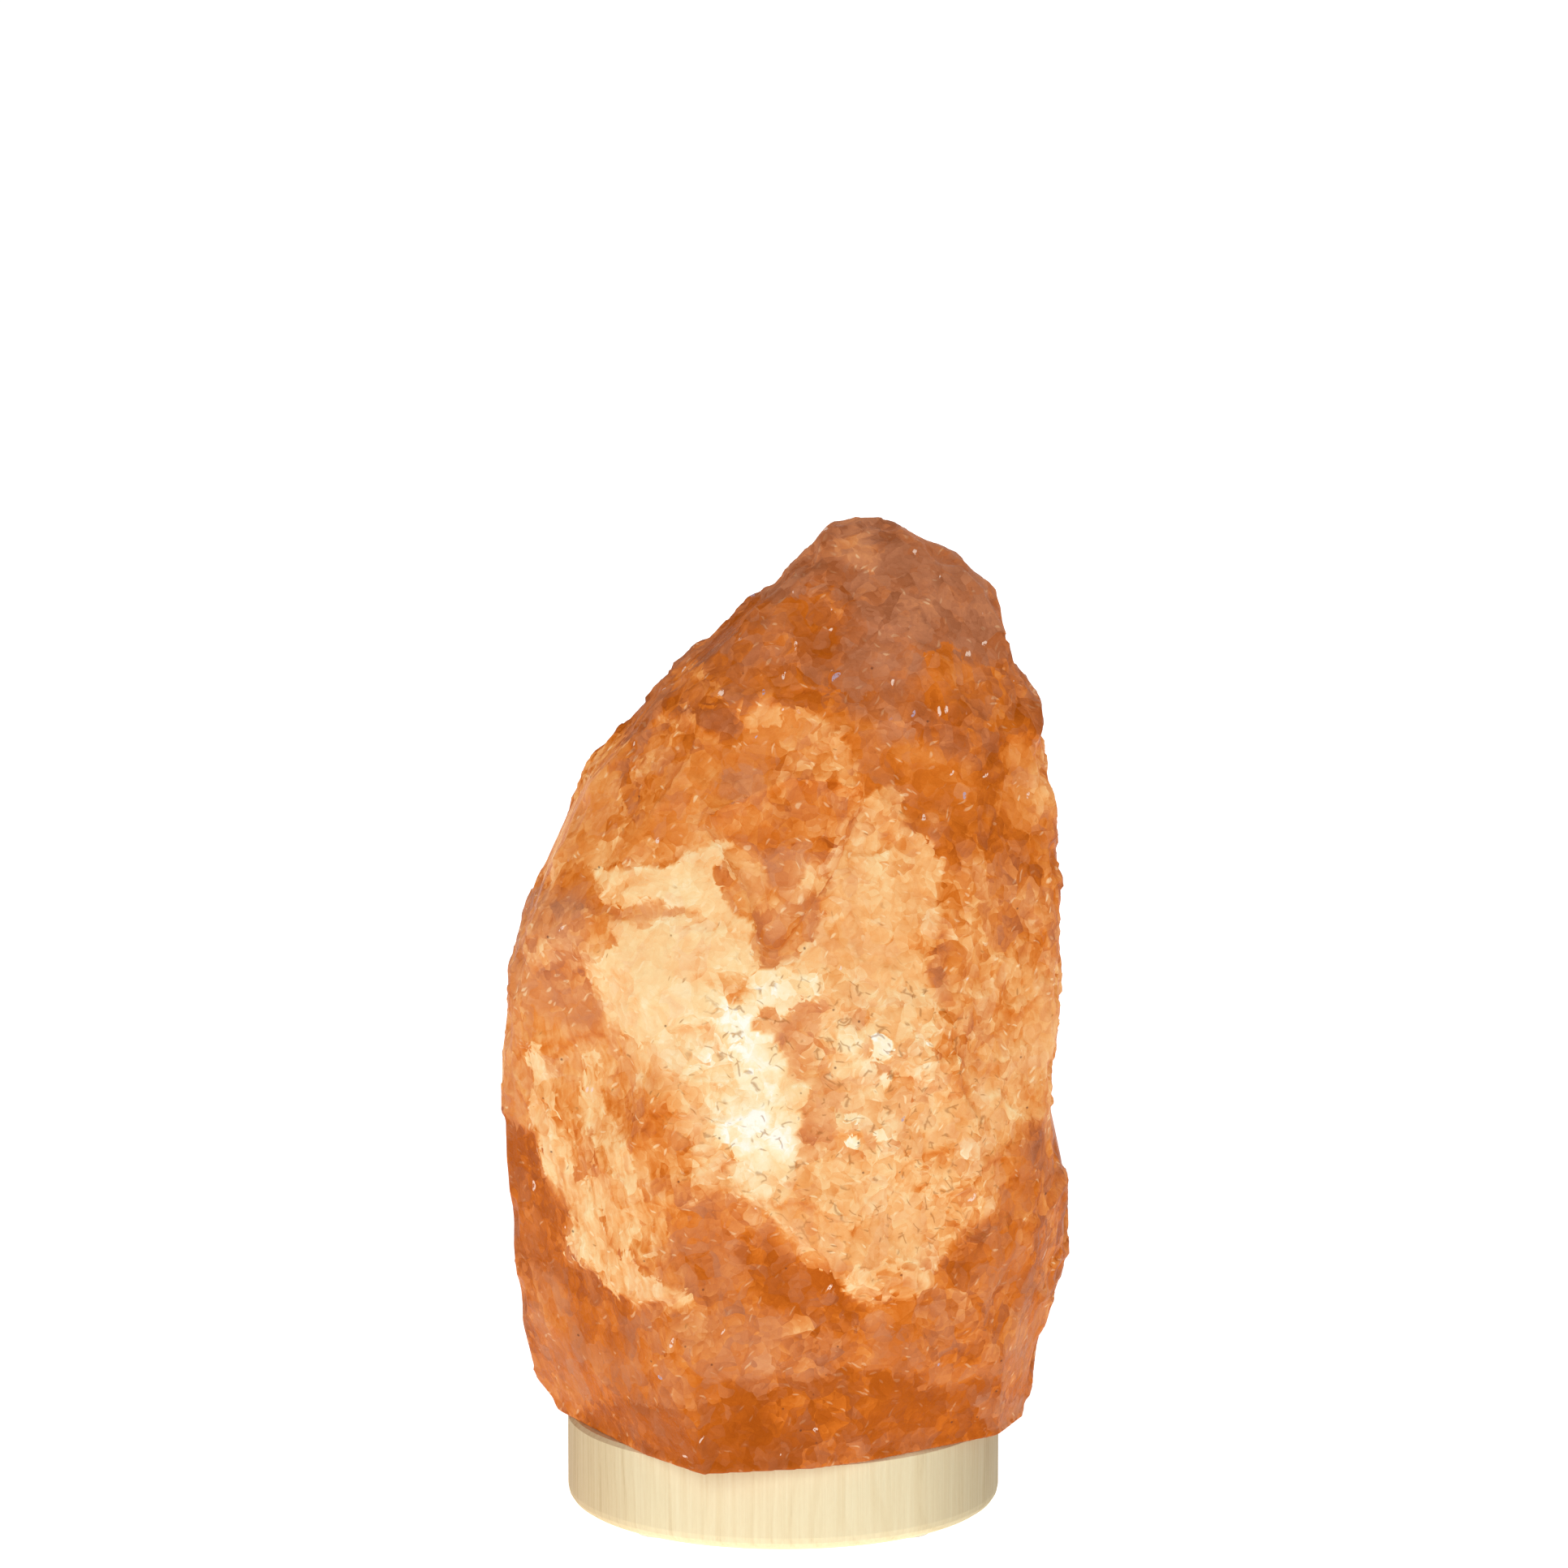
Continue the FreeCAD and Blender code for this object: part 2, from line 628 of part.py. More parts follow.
def bulb_cap():
    skin = BULB_METAL_T
    thread_r = THREAD_D / 2
    flare_r = CAP_FLARE_D / 2
    bevel_top = thread_z + CAP_BEVEL
    return lathe([
        (thread_r - CAP_BEVEL, thread_z), (thread_r, bevel_top), (thread_r, flare_z),
        (flare_r, glass_z), (flare_r - skin, glass_z), (thread_r - skin, flare_z),
        (thread_r - skin, bevel_top), (thread_r - CAP_BEVEL - skin, thread_z),
    ])


def glass_solid(inset):
    """Tubular pear: narrow neck, straight flank, round end."""
    neck = THREAD_D / 2 - BULB_METAL_T - FIT_GAP - inset
    belly = GLASS_D / 2 - inset
    wide = glass_z + GLASS_SHOULDER
    round_z = glass_top - GLASS_D / 2
    profile = [(0, flare_z + GLASS_FOOT + inset), (neck, flare_z + GLASS_FOOT + inset),
               (neck, glass_z), (belly, wide)]
    for step in range(DOME_FLATS):
        turn = math.radians(90 * step / DOME_FLATS)
        profile.append((belly * math.cos(turn), round_z + belly * math.sin(turn)))
    return lathe(profile + [(0, round_z + belly)])


def bulb_glass():
    shell = glass_solid(0).cut(glass_solid(GLASS_T))
    return shell.cut(hole(STEM_D + 2 * FIT_GAP, flare_z + GLASS_FOOT, GLASS_T))


def stem_top():
    return glass_z + STEM_L


def bulb_stem():
    """Glass post with its end pinched flat, and the holes of the wires in it."""
    foot = flare_z + GLASS_FOOT
    pinch_z = stem_top() - PINCH_H
    post = disc(STEM_D, foot, pinch_z - foot)
    pinch = block(STEM_D, PINCH_T, PINCH_H, (0, 0), pinch_z)
    stem = post.fuse(disc(STEM_D, pinch_z, PINCH_H).common(pinch)).removeSplitter()
    for x in (-STEM_D / 4, STEM_D / 4):
        stem = stem.cut(hole(WIRE_D + 2 * FIT_GAP, foot, stem_top() - foot, (x, 0)))
    return stem.cut(disc(WIRE_D + 2 * FIT_GAP, pinch_z, PINCH_H + PAST))


def wire_run(points, diameter):
    """Round wire along straight runs, mitred where they meet."""
    path = Part.makePolygon(points)
    start = Part.Circle(points[0], points[1] - points[0], diameter / 2).toShape()
    return path.makePipeShell([Part.Wire(start)], True, False, 1)


def lead_wires():
    wires = []
    for side in (-1, 1):
        x = side * STEM_D / 4
        foot = V(x, 0, flare_z + 2 * GLASS_FOOT)
        knee = V(x, 0, stem_top() + LEAD_KNEE)
        tip = V(side * LEAD_SPREAD, 0, stem_top() + LEAD_RISE)
        wires.append(wire_run([foot, knee, tip], WIRE_D))
    return group(wires)


def filament_z():
    return stem_top() + LEAD_RISE + FIT_GAP + FILAMENT_D / 2


def filament():
    """Fine coil drawn as one thin rod, bowed up from the leads over its support."""
    points = []
    for step in range(FILAMENT_RUNS + 1):
        across = 2 * step / FILAMENT_RUNS - 1
        points.append(V(LEAD_SPREAD * across, 0,
                        filament_z() + FILAMENT_BOW * (1 - across ** 2)))
    return wire_run(points, FILAMENT_D)


def filament_support():
    low = stem_top() - PINCH_H
    high = filament_z() + FILAMENT_BOW - FILAMENT_D / 2 - FIT_GAP
    return disc(WIRE_D, low, high - low)


# ---------------------------------------------------------------- export
PIECES = {
    "salt_crystal": salt_crystal(),
    "wooden_base": wooden_base(),
    "foot_pads": foot_pads(),
    "base_screws": base_screws(),
    "screw_plugs": screw_plugs(),
    "fitting_flange": fitting_flange(),
    "threaded_tube": threaded_tube(),
    "tube_nut": tube_nut(),
    "spring_strap": spring_strap(),
    "spring_leaf_left": spring_leaf(-1),
    "spring_leaf_right": spring_leaf(1),
    "holder_cap": holder_cap(),
    "holder_skirt": holder_skirt(),
    "contact_block": contact_block(),
    "screw_shell": screw_shell(),
    "side_contact": side_contact(),
    "terminal_clamps": terminal_clamps(),
    "terminal_screws": terminal_screws(),
    "centre_contact": centre_contact(),
    "bulb_tip": bulb_tip(),
    "bulb_insulator": bulb_insulator(),
    "bulb_cap": bulb_cap(),
    "bulb_glass": bulb_glass(),
    "bulb_stem": bulb_stem(),
    "lead_wires": lead_wires(),
    "filament": filament(),
    "filament_support": filament_support(),
}

for name, shape in PIECES.items():
    shape.exportStep("parts/" + name + ".step")
    print(name, "solids", len(shape.Solids), "valid", shape.isValid(),
          "cm3", round(shape.Volume / 1000, 2))
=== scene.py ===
import math

import bpy
import numpy as np
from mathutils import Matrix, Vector


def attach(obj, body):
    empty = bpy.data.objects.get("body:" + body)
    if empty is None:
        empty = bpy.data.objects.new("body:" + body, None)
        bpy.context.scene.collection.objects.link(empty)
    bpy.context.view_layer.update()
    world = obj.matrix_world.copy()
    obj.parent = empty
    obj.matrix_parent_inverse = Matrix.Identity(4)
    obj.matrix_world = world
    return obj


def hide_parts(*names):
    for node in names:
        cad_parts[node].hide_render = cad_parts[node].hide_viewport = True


# Salt crystal lamp, lit: the hewn block is shaped and painted here over its solid, and
# the wood, metal, plastic and glass pieces get their finishes. The scene is in metres;
# names that end in _MM, outlines and the sculpting of the block are in millimetres.

# ------------------------------ the view
FRAME_PX = 1932
FOCAL_PX = 8773
FOOT_ROW = 1847                         # pixel row of the lamp's foot on its axis
AXIS_COLUMN = 965                       # pixel column of the axis
SENSOR_MM = 36.0
EYE_DISTANCE = 2.0                      # from the foot on the axis
EYE_ELEVATION = math.radians(15.5)
EYE_HEIGHT = EYE_DISTANCE * math.sin(EYE_ELEVATION)
EYE_BACK = EYE_DISTANCE * math.cos(EYE_ELEVATION)

# ------------------------------ the hewn block
VOXEL = 0.0012                          # of the even remesh, in metres
SEAT_MM = 26.5                          # the block stands on the wood up to here
BORE_R_MM = 23.0
BORE_TOP_MM = 150.5
HOT_HEIGHT_MM = 139.0                   # the glow is strongest at this height
RELIEF_LIMIT_MM = 0.9                   # the hewing leaves the solid by this at most
RELIEF_RAISE_MM = 0.6                   # makes up for what the hewing takes on average
FRONT_WAY = (0.0, -0.964, 0.267)        # from the block towards the front view
PAINTED_LIGHT_WAY = (-0.35, -0.25, 0.90)       # painted light: relief that faces this way is painted paler
FAR_MM = 8.0                            # distances to patches are kept up to here
FRONT_DEPTHS_MM = (32, 12)              # patches fade in between these depths
WOBBLE_SIZE_MM = 7
WOBBLE_SHARE = 0.35
RIDGE_MM = 0.3                          # painted light and shade: ridges this high are painted paler in full, creases darker
SEED = 11

# Patches of the front: (name, layer, glow, haze, rim, relief in mm, outline). Glow runs
# from 0, deep orange brown, to 1, near white, and haze from clear to milky. The rim is
# glow added along the edge. Later layers cover earlier ones. Outlines are (across, up),
# where the line of sight from the eye meets the upright plane through the lamp's axis.
PATCHES = (
    ("lower slope", 0, 0.38, 0.35, 0, -1.2, (
        (-37, 84), (-26, 84), (-16, 89.5), (-10, 86), (-3.5, 80.5), (0, 76), (4.5, 71.5), (8, 68.5),
        (13, 66.5), (16, 61), (20.5, 58), (27, 57.5), (36, 57.5), (44, 55), (58, 60), (84, 54),
        (84, -5), (-84, -5), (-84, 66), (-71, 69), (-62, 64.5), (-55.5, 57.5), (-46.5, 57.5),
        (-39.5, 56), (-26, 58.5), (-30, 66))),
    ("upper shell", 0, 0.5, 0.12, 0, -0.6, (
        (-13.5, 221), (-11, 224.5), (-4.5, 226.5), (2, 224.5), (8, 225), (13.5, 221), (18, 215.5),
        (20, 210), (19, 202), (20, 197.5), (14.5, 188.5), (8, 186), (-1, 188.5), (-10, 187),
        (-15.5, 189.5), (-21, 185), (-30, 183.5), (-37, 186), (-40, 195), (-42.5, 204), (-39, 211),
        (-36.5, 217.5), (-33.5, 221), (-28, 222), (-21, 217.5), (-15.5, 216.5))),
    ("top pale face", 0, 0.22, 0.85, 0, 0, (
        (8, 282), (30, 282), (70, 262), (70, 233.5), (48, 240), (30, 229), (21, 224.5), (12, 233.5),
        (8, 242.5), (-1, 249), (-10, 262))),
    ("left plate", 1, 0.86, 0, 0.05, 0.8, (
        (-49, 178), (-37, 179.5), (-25.5, 183.5), (-15.5, 187), (-13.5, 185), (-18, 179),
        (-17, 173), (-13.5, 168), (-9, 163.5), (-8, 157.5), (-5.5, 152), (-11, 146), (-17, 141.5),
        (-21.5, 136), (-28, 132.5), (-39.5, 130), (-48, 135.5), (-49.5, 144), (-54, 148.5),
        (-54.5, 153), (-46, 157.5), (-47.5, 163.5), (-37, 165.5), (-23.5, 166.5), (-37, 170),
        (-48, 171.5))),
    ("right plate", 1, 0.74, 0.05, 0.04, 0.8, (
        (30, 202.5), (32.5, 198.5), (32, 191.5), (37, 188.5), (41.5, 183.5), (44.5, 181.5),
        (43.5, 172.5), (42.5, 165.5), (41.5, 156.5), (38, 149.5), (41.5, 141.5), (45, 136),
        (42.5, 129), (41.5, 120), (30.5, 122), (21.5, 138), (10, 140.5), (4.5, 146), (0, 151.5),
        (4.5, 154), (8, 158.5), (11, 164.5), (12, 169), (15.5, 173.5), (13.5, 179), (18, 188.5),
        (21.5, 193), (27, 198.5))),
    ("left ledge", 1, 0.78, 0, 0.06, 0.8, (
        (-69.5, 130.5), (-66.5, 129), (-62, 108.5), (-56.5, 94.5), (-49.5, 83), (-46, 74),
        (-37, 64.5), (-26, 58.5), (-28, 56.5), (-39.5, 56), (-47.5, 60), (-52, 64), (-60, 70.5),
        (-59.5, 76), (-57, 78.5), (-62, 86.5), (-66.5, 94.5), (-67.5, 104), (-69.5, 110.5),
        (-68.5, 120))),
    ("second strip", 1, 0.76, 0, 0.05, 0.4, (
        (-55, 126.5), (-51, 126.5), (-48.5, 115.5), (-44.5, 105), (-39.5, 94.5), (-37, 85.5),
        (-40.5, 76), (-44, 67), (-48.5, 71.5), (-49.5, 83), (-52, 94.5), (-53.5, 108.5))),
    ("foot band", 1, 0.16, 0.08, -0.02, -1.2, (
        (-84, 34), (-60, 25), (-46.5, 28.5), (-24, 27), (-14.5, 32), (-3.5, 34), (12.5, 35.5),
        (18, 38), (21.5, 36.5), (28.5, 36.5), (35.5, 31.5), (44, 30.5), (53, 34.5), (66.5, 29.5),
        (84, 26), (84, -5), (-84, -5))),
    ("top orange left", 1, 0.26, 0.2, 0, 0, (
        (-7.5, 251), (5.5, 254.5), (15, 258), (17.5, 251.5), (15, 245), (17.5, 236.5), (12, 232.5),
        (12, 226), (5.5, 227), (-1, 226), (-7, 227.5), (-10.5, 236.5), (-13, 242), (-11, 248.5))),
    ("deep right", 1, 0.33, 0, 0, 0, (
        (33.5, 207.5), (38, 209), (45, 208), (52, 206), (55, 202.5), (53, 198), (45, 197),
        (38, 198), (32.5, 201.5))),
    ("right flank", 1, 0.52, 0.1, 0, 0, (
        (61.5, 214.5), (65.5, 216.5), (75.5, 214.5), (76, 191), (68.5, 189), (63, 191), (58.5, 198),
        (60, 206), (59.5, 211.5))),
    ("upper right face", 1, 0.36, 0.12, 0, 0, (
        (38, 240), (45, 242), (51.5, 236.5), (58.5, 234), (62, 229.5), (61, 224), (57, 218.5),
        (49, 217), (42, 220), (38, 225.5), (36.5, 232.5))),
    ("crest", 1, 0.42, 0.95, 0, 0, (
        (15, 271), (20, 273.5), (25.5, 271.5), (27, 267), (24.5, 262), (19, 262.5), (15, 266))),
    ("slope shade", 1, 0.28, 0.5, 0, 0, (
        (-42.5, 222), (-35.5, 231), (-30, 233.5), (-27.5, 231.5), (-31.5, 224.5), (-34, 220.5),
        (-37.5, 214.5), (-38, 211.5), (-41, 211.5), (-41.5, 217))),
    ("left bump", 1, 0.48, 0.05, 0.02, 0, (
        (-34, 220.5), (-30, 222), (-24.5, 221), (-17.5, 215.5), (-17, 210), (-20.5, 206),
        (-24.5, 200.5), (-34, 200.5), (-38.5, 203), (-38, 210))),
    ("left patch", 1, 0.47, 0.1, 0, 0, (
        (-30, 233), (-23, 237), (-19, 232.5), (-15.5, 227.5), (-19, 223.5), (-24.5, 224),
        (-30, 223.5), (-32, 224))),
    ("left flank", 1, 0.57, 0.1, 0.02, 0, (
        (-59, 206), (-48.5, 214.5), (-45, 215.5), (-42.5, 217), (-41, 211.5), (-42.5, 206),
        (-44.5, 202), (-42.5, 197), (-39.5, 193.5), (-42.5, 187.5), (-43, 179.5), (-48.5, 178),
        (-54, 181), (-66, 174.5), (-68.5, 182.5), (-63, 196.5))),
    ("shell foot", 1, 0.51, 0.02, 0.02, 0, (
        (-38.5, 193.5), (-34, 197.5), (-24.5, 197), (-15, 195.5), (-11, 192), (-15, 188.5),
        (-19, 186), (-25.5, 183), (-31.5, 178), (-34, 178), (-42, 181.5), (-42.5, 187.5))),
    ("notch flank", 1, 0.62, 0.15, 0, 0, (
        (-18.5, 184.5), (-13.5, 184.5), (-7, 179.5), (-4, 172.5), (-8, 165), (-11, 163),
        (-13.5, 168.5), (-16.5, 173.5), (-18, 179))),
    ("low lobe", 1, 0.33, 0, 0, 0, (
        (-59.5, 66.5), (-52.5, 66), (-47.5, 59.5), (-44, 56.5), (-41.5, 54), (-43, 48), (-44, 42.5),
        (-51, 42.5), (-54, 48), (-58.5, 54))),
    ("low haze", 1, 0.4, 0.65, 0, 0, (
        (-31.5, 49.5), (-18, 56.5), (-4, 56.5), (3, 49.5), (17, 48), (19.5, 42.5), (10, 36.5),
        (-8, 36), (-21.5, 35.5), (-27.5, 41))),
    ("six-sided plate", 1, 0.92, 0, 0.03, 0.4, (
        (-11, 110.5), (-8, 112), (-4, 109), (3.5, 102.5), (3.5, 96.5), (2, 91), (-1.5, 88.5),
        (-4.5, 85.5), (-8, 86.5), (-14.5, 90), (-15.5, 95), (-11.5, 97), (-11, 104.5))),
    ("lower facet", 1, 0.74, 0, 0.02, 0, (
        (5, 98), (11.5, 97), (20.5, 98.5), (32, 100), (32, 92.5), (28.5, 85.5), (18, 79.5),
        (7.5, 84.5), (3.5, 91))),
    ("orange cell", 1, 0.52, 0, 0, 0, (
        (-50, 117.5), (-43.5, 113.5), (-32.5, 106), (-27, 103), (-24, 95.5), (-22, 88.5),
        (-28.5, 90), (-32.5, 90.5), (-41, 100), (-47, 109))),
    ("notch", 2, 0.5, 0.5, -0.04, -1.6, (
        (-6.5, 181.5), (-3.5, 184), (8, 186), (18, 183.5), (14.5, 181.5), (15, 174.5), (12, 170),
        (10.5, 163.5), (8, 159), (4.5, 154.5), (-2, 151), (-6.5, 152), (-9, 158.5), (-6.5, 165.5),
        (-3.5, 168), (-6.5, 176))),
    ("hot core", 2, 1.02, 0, 0, 0.3, (
        (-8, 149.5), (-1, 151.5), (8, 149.5), (9, 144), (4.5, 139.5), (-1, 138), (-4.5, 129),
        (0, 124.5), (1, 120), (-2, 116.5), (1, 110.5), (4.5, 104), (4, 97), (1, 91), (-7, 93.5),
        (-12.5, 97), (-17, 104), (-15.5, 110.5), (-11, 116.5), (-13.5, 122), (-17, 129), (-18, 136),
        (-13.5, 140.5), (-10, 144))),
    ("left hollow", 2, 0.2, 0, -0.03, -1.6, (
        (-84, 112), (-77.5, 110.5), (-73, 107), (-68.5, 104), (-67, 94.5), (-62, 86), (-59.5, 80.5),
        (-60, 70.5), (-52, 64), (-46.5, 57.5), (-55.5, 57.5), (-62, 64.5), (-71, 69), (-84, 70.5))),
    ("middle hollow", 2, 0.2, 0, -0.02, -1, (
        (-14.5, 70.5), (-9, 76), (-2.5, 78), (4.5, 70.5), (13, 65.5), (16.5, 60), (22, 55),
        (21.5, 48.5), (12.5, 52), (2.5, 52.5), (-3.5, 57), (-9, 63.5))),
    ("orange tongue", 2, 0.38, 0, 0, 0, (
        (9.5, 226), (15, 227.5), (17.5, 223.5), (18.5, 218.5), (15.5, 216.5), (12, 220.5))),
    ("deep cleft", 2, 0.27, 0, 0, -0.6, (
        (16, 214.5), (20.5, 216.5), (24.5, 214.5), (27, 211.5), (31.5, 211), (33.5, 207.5),
        (31.5, 204), (28.5, 202.5), (24.5, 200), (22, 198.5), (21, 203.5), (20.5, 208))),
    ("milky cleft", 2, 0.4, 0.8, 0, 0, (
        (24.5, 224), (28.5, 225.5), (32.5, 221.5), (38, 220), (38, 214.5), (31.5, 213.5),
        (27, 214.5), (26.5, 218.5))),
    ("shell crown", 2, 0.64, 0, 0.03, 0, (
        (-13, 219.5), (-8.5, 225), (-5, 226.5), (-1, 223.5), (0.5, 220), (-1, 217), (-6.5, 218),
        (-11, 217))),
    ("shell lobe", 2, 0.57, 0.05, 0, 0, (
        (1, 223.5), (4, 225), (9.5, 222), (15, 216.5), (19, 210.5), (20.5, 205.5), (20, 201.5),
        (20.5, 198), (17.5, 199), (15.5, 204.5), (13, 211), (8.5, 216.5), (5.5, 220))),
    ("plate tip", 2, 0.62, 0, 0.02, 0, (
        (21.5, 198.5), (26, 201.5), (29, 202.5), (31.5, 200), (31.5, 191.5), (28.5, 189),
        (24.5, 191), (21, 193.5))),
    ("left gap", 2, 0.34, 0.45, 0, 0, (
        (-44.5, 207.5), (-42.5, 204.5), (-39.5, 202), (-38.5, 196.5), (-39, 193), (-42.5, 197),
        (-44.5, 200), (-44.5, 204))),
    ("shell shadow", 2, 0.46, 0.6, 0, 0, (
        (-16.5, 206), (-11, 209), (-5.5, 206), (-4, 202), (-8, 197.5), (-13.5, 197), (-18, 200.5))),
    ("plate wedge", 2, 0.52, 0.55, 0, 0, (
        (-42.5, 167.5), (-38.5, 169), (-34.5, 168.5), (-29, 166.5), (-34.5, 165), (-40.5, 165),
        (-44, 166.5))),
    ("ribbon", 2, 0.8, 0, 0.04, 0, (
        (-49.5, 175.5), (-47.5, 177.5), (-41, 178), (-37, 175.5), (-29, 173.5), (-23.5, 175.5),
        (-25.5, 182.5), (-19, 186), (-18, 177), (-16.5, 173.5), (-24.5, 171), (-37, 170),
        (-44, 168.5), (-48.5, 170.5))),
    ("eye cell", 2, 0.6, 0, 0.02, 0, (
        (-44, 85), (-37, 86.5), (-31.5, 83), (-31.5, 71), (-38.5, 68), (-42.5, 75))),
    ("band dark", 2, 0.1, 0, 0, 0, (
        (-11, 33), (-4, 32.5), (-4, 24), (-8, 16.5), (-13.5, 21), (-13, 28))),
    ("pale slab", 2, 0.78, 0.1, 0.06, 0.6, (
        (16, 61), (18, 66), (25, 66.5), (33.5, 68), (38, 68), (40.5, 62.5), (39.5, 59), (33.5, 59),
        (26.5, 59), (19.5, 59.5))),
    ("orange pool", 2, 0.36, 0, 0, 0, (
        (29.5, 56), (35.5, 56.5), (39.5, 54), (43, 51), (40.5, 46.5), (35, 45), (29.5, 49.5))),
    ("band pool", 2, 0.16, 0, 0, 0, (
        (19.5, 36.5), (25, 36.5), (32, 35.5), (37.5, 32.5), (29.5, 28), (22.5, 28), (18, 32.5))),
    ("band glow", 2, 0.22, 0, 0, 0, (
        (28, 21), (33.5, 26), (43, 26.5), (53, 24), (56.5, 19.5), (50, 16.5), (40.5, 16.5),
        (32, 17.5))),
    ("pale foot", 2, 0.36, 0.8, 0, 0, (
        (54.5, 28), (61, 31), (71, 28), (70.5, 24), (62, 20), (57, 19.5), (54.5, 24))),
    ("dark spot", 2, 0.22, 0.1, 0, 0, (
        (47.5, 42.5), (52, 43), (54.5, 39), (51.5, 35.5), (48, 38))),
    ("right shade", 2, 0.5, 0, 0, 0, (
        (43, 137), (46.5, 134.5), (47, 127.5), (49.5, 120.5), (52, 117.5), (51, 115), (46.5, 119),
        (44.5, 126.5))),
    ("notch ceiling", 3, 0.42, 0.8, 0, -0.6, (
        (-6.5, 181), (-2, 185), (8, 185.5), (9.5, 179), (6.5, 174.5), (-1, 172.5), (-5.5, 174.5))),
    ("shell shade", 3, 0.4, 0, 0, 0, (
        (15, 204.5), (17.5, 199), (20.5, 196.5), (17.5, 191.5), (15, 193.5), (13, 199))),
    ("brown lip", 3, 0.42, 0.4, 0, 0, (
        (-13.5, 189.5), (-7, 190), (0, 189.5), (-4, 186), (-9, 186.5), (-13, 187.5))),
    ("blade", 3, 0.8, 0, 0.04, 0, (
        (7, 172.5), (9.5, 178), (12.5, 179.5), (15.5, 174.5), (12.5, 170), (9, 171))),
    ("eye shade", 3, 0.42, 0.15, 0, 0, (
        (-30, 81), (-24.5, 83), (-20.5, 78.5), (-24.5, 72.5), (-29, 73))),
    ("flat brown", 3, 0.5, 0.25, 0, 0, (
        (-18, 88), (-13.5, 88.5), (-8, 85), (-2.5, 80), (-5.5, 77), (-13.5, 76.5), (-19, 78),
        (-19, 83.5))),
    ("slab hollow", 3, 0.52, 0.2, 0, 0, (
        (23.5, 62.5), (28, 64.5), (33.5, 63.5), (37, 61.5), (32, 60), (26, 60))),
    ("bright lip", 3, 0.84, 0, 0, 0.4, (
        (-12, 88), (-6.5, 85), (-1, 78.5), (3.5, 73.5), (7, 68), (13.5, 66), (12.5, 68.5),
        (8.5, 71), (4.5, 75), (-1, 81), (-5.5, 84.5), (-10, 88.5))),
    ("first window", 3, 1.12, 0, 0, 0, (
        (-15, 138), (-9, 138), (-9, 134.5), (-11.5, 132.5), (-14.5, 130), (-15.5, 134))),
    ("white tongue", 3, 1.08, 0, 0, 0, (
        (-11, 130), (-9, 133.5), (-4.5, 133), (-1, 129.5), (1, 125), (0.5, 122), (-1.5, 119),
        (-2.5, 115), (-4, 115.5), (-5, 118.5), (-7.5, 122), (-10.5, 125))),
    ("second window", 3, 1.1, 0, 0, 0, (
        (-2, 147), (2.5, 147), (2.5, 143.5), (-2, 144))),
    ("plate window", 3, 1.08, 0, 0, 0, (
        (-9, 111), (-4, 109), (-1, 105), (1, 101.5), (-1, 98), (-4, 103), (-7.5, 104.5),
        (-9, 107.5))),
    ("milky column", 3, 0.6, 0.6, 0, -0.6, (
        (-1.5, 131.5), (1, 137.5), (5, 140.5), (10.5, 142), (13.5, 139.5), (10.5, 137), (10, 131.5),
        (13.5, 126.5), (14, 120.5), (17.5, 120.5), (17, 115), (15, 112), (14, 103), (10.5, 101),
        (6.5, 101.5), (4, 104.5), (7, 112), (6.5, 117.5), (1, 120.5), (1, 126.5), (-1.5, 129.5))),
    ("brick one", 3, 1.02, 0, 0, 0, (
        (20, 124.5), (25, 124.5), (25, 122), (20.5, 121.5))),
    ("brick two", 3, 1.1, 0, 0, 0, (
        (25.5, 131.5), (28, 131), (29, 128), (28, 126.5), (25.5, 127.5))),
    ("brick three", 3, 1.05, 0, 0, 0, (
        (24, 117.5), (27, 121.5), (29.5, 122), (28.5, 117.5), (26.5, 115.5), (24, 116.5))),
    ("brick four", 3, 0.98, 0, 0, 0, (
        (16.5, 110), (20.5, 110.5), (20.5, 107.5), (17, 107.5))),
    ("brick five", 3, 0.98, 0, 0, 0, (
        (24, 105), (29, 106.5), (29.5, 104), (24, 102.5))),
    ("brick six", 3, 1.08, 0, 0, 0, (
        (11.5, 101), (16.5, 101), (20, 104.5), (20.5, 101.5), (19, 99.5), (13.5, 99.5))),
    ("brick seven", 3, 0.95, 0, 0, 0, (
        (17.5, 130), (20.5, 130.5), (20, 127.5), (18.5, 127.5))),
    ("brick eight", 3, 0.98, 0, 0, 0, (
        (2, 108), (4, 109), (4.5, 105), (2.5, 105))),
    ("brick nine", 3, 0.98, 0, 0, 0, (
        (-18, 113.5), (-14.5, 115.5), (-11.5, 115), (-11.5, 110.5), (-15.5, 108), (-19, 110.5))),
    ("blotch", 3, 0.6, 0.3, 0, 0, (
        (-9, 137.5), (-2.5, 138), (-1.5, 134.5), (-4, 133), (-7.5, 133.5), (-9, 134.5))),
    ("brown chip", 3, 0.55, 0.3, 0, 0, (
        (-23, 149), (-18, 148), (-12.5, 146.5), (-11.5, 143.5), (-16, 144), (-20.5, 146.5))),
)
LAYERS = 4

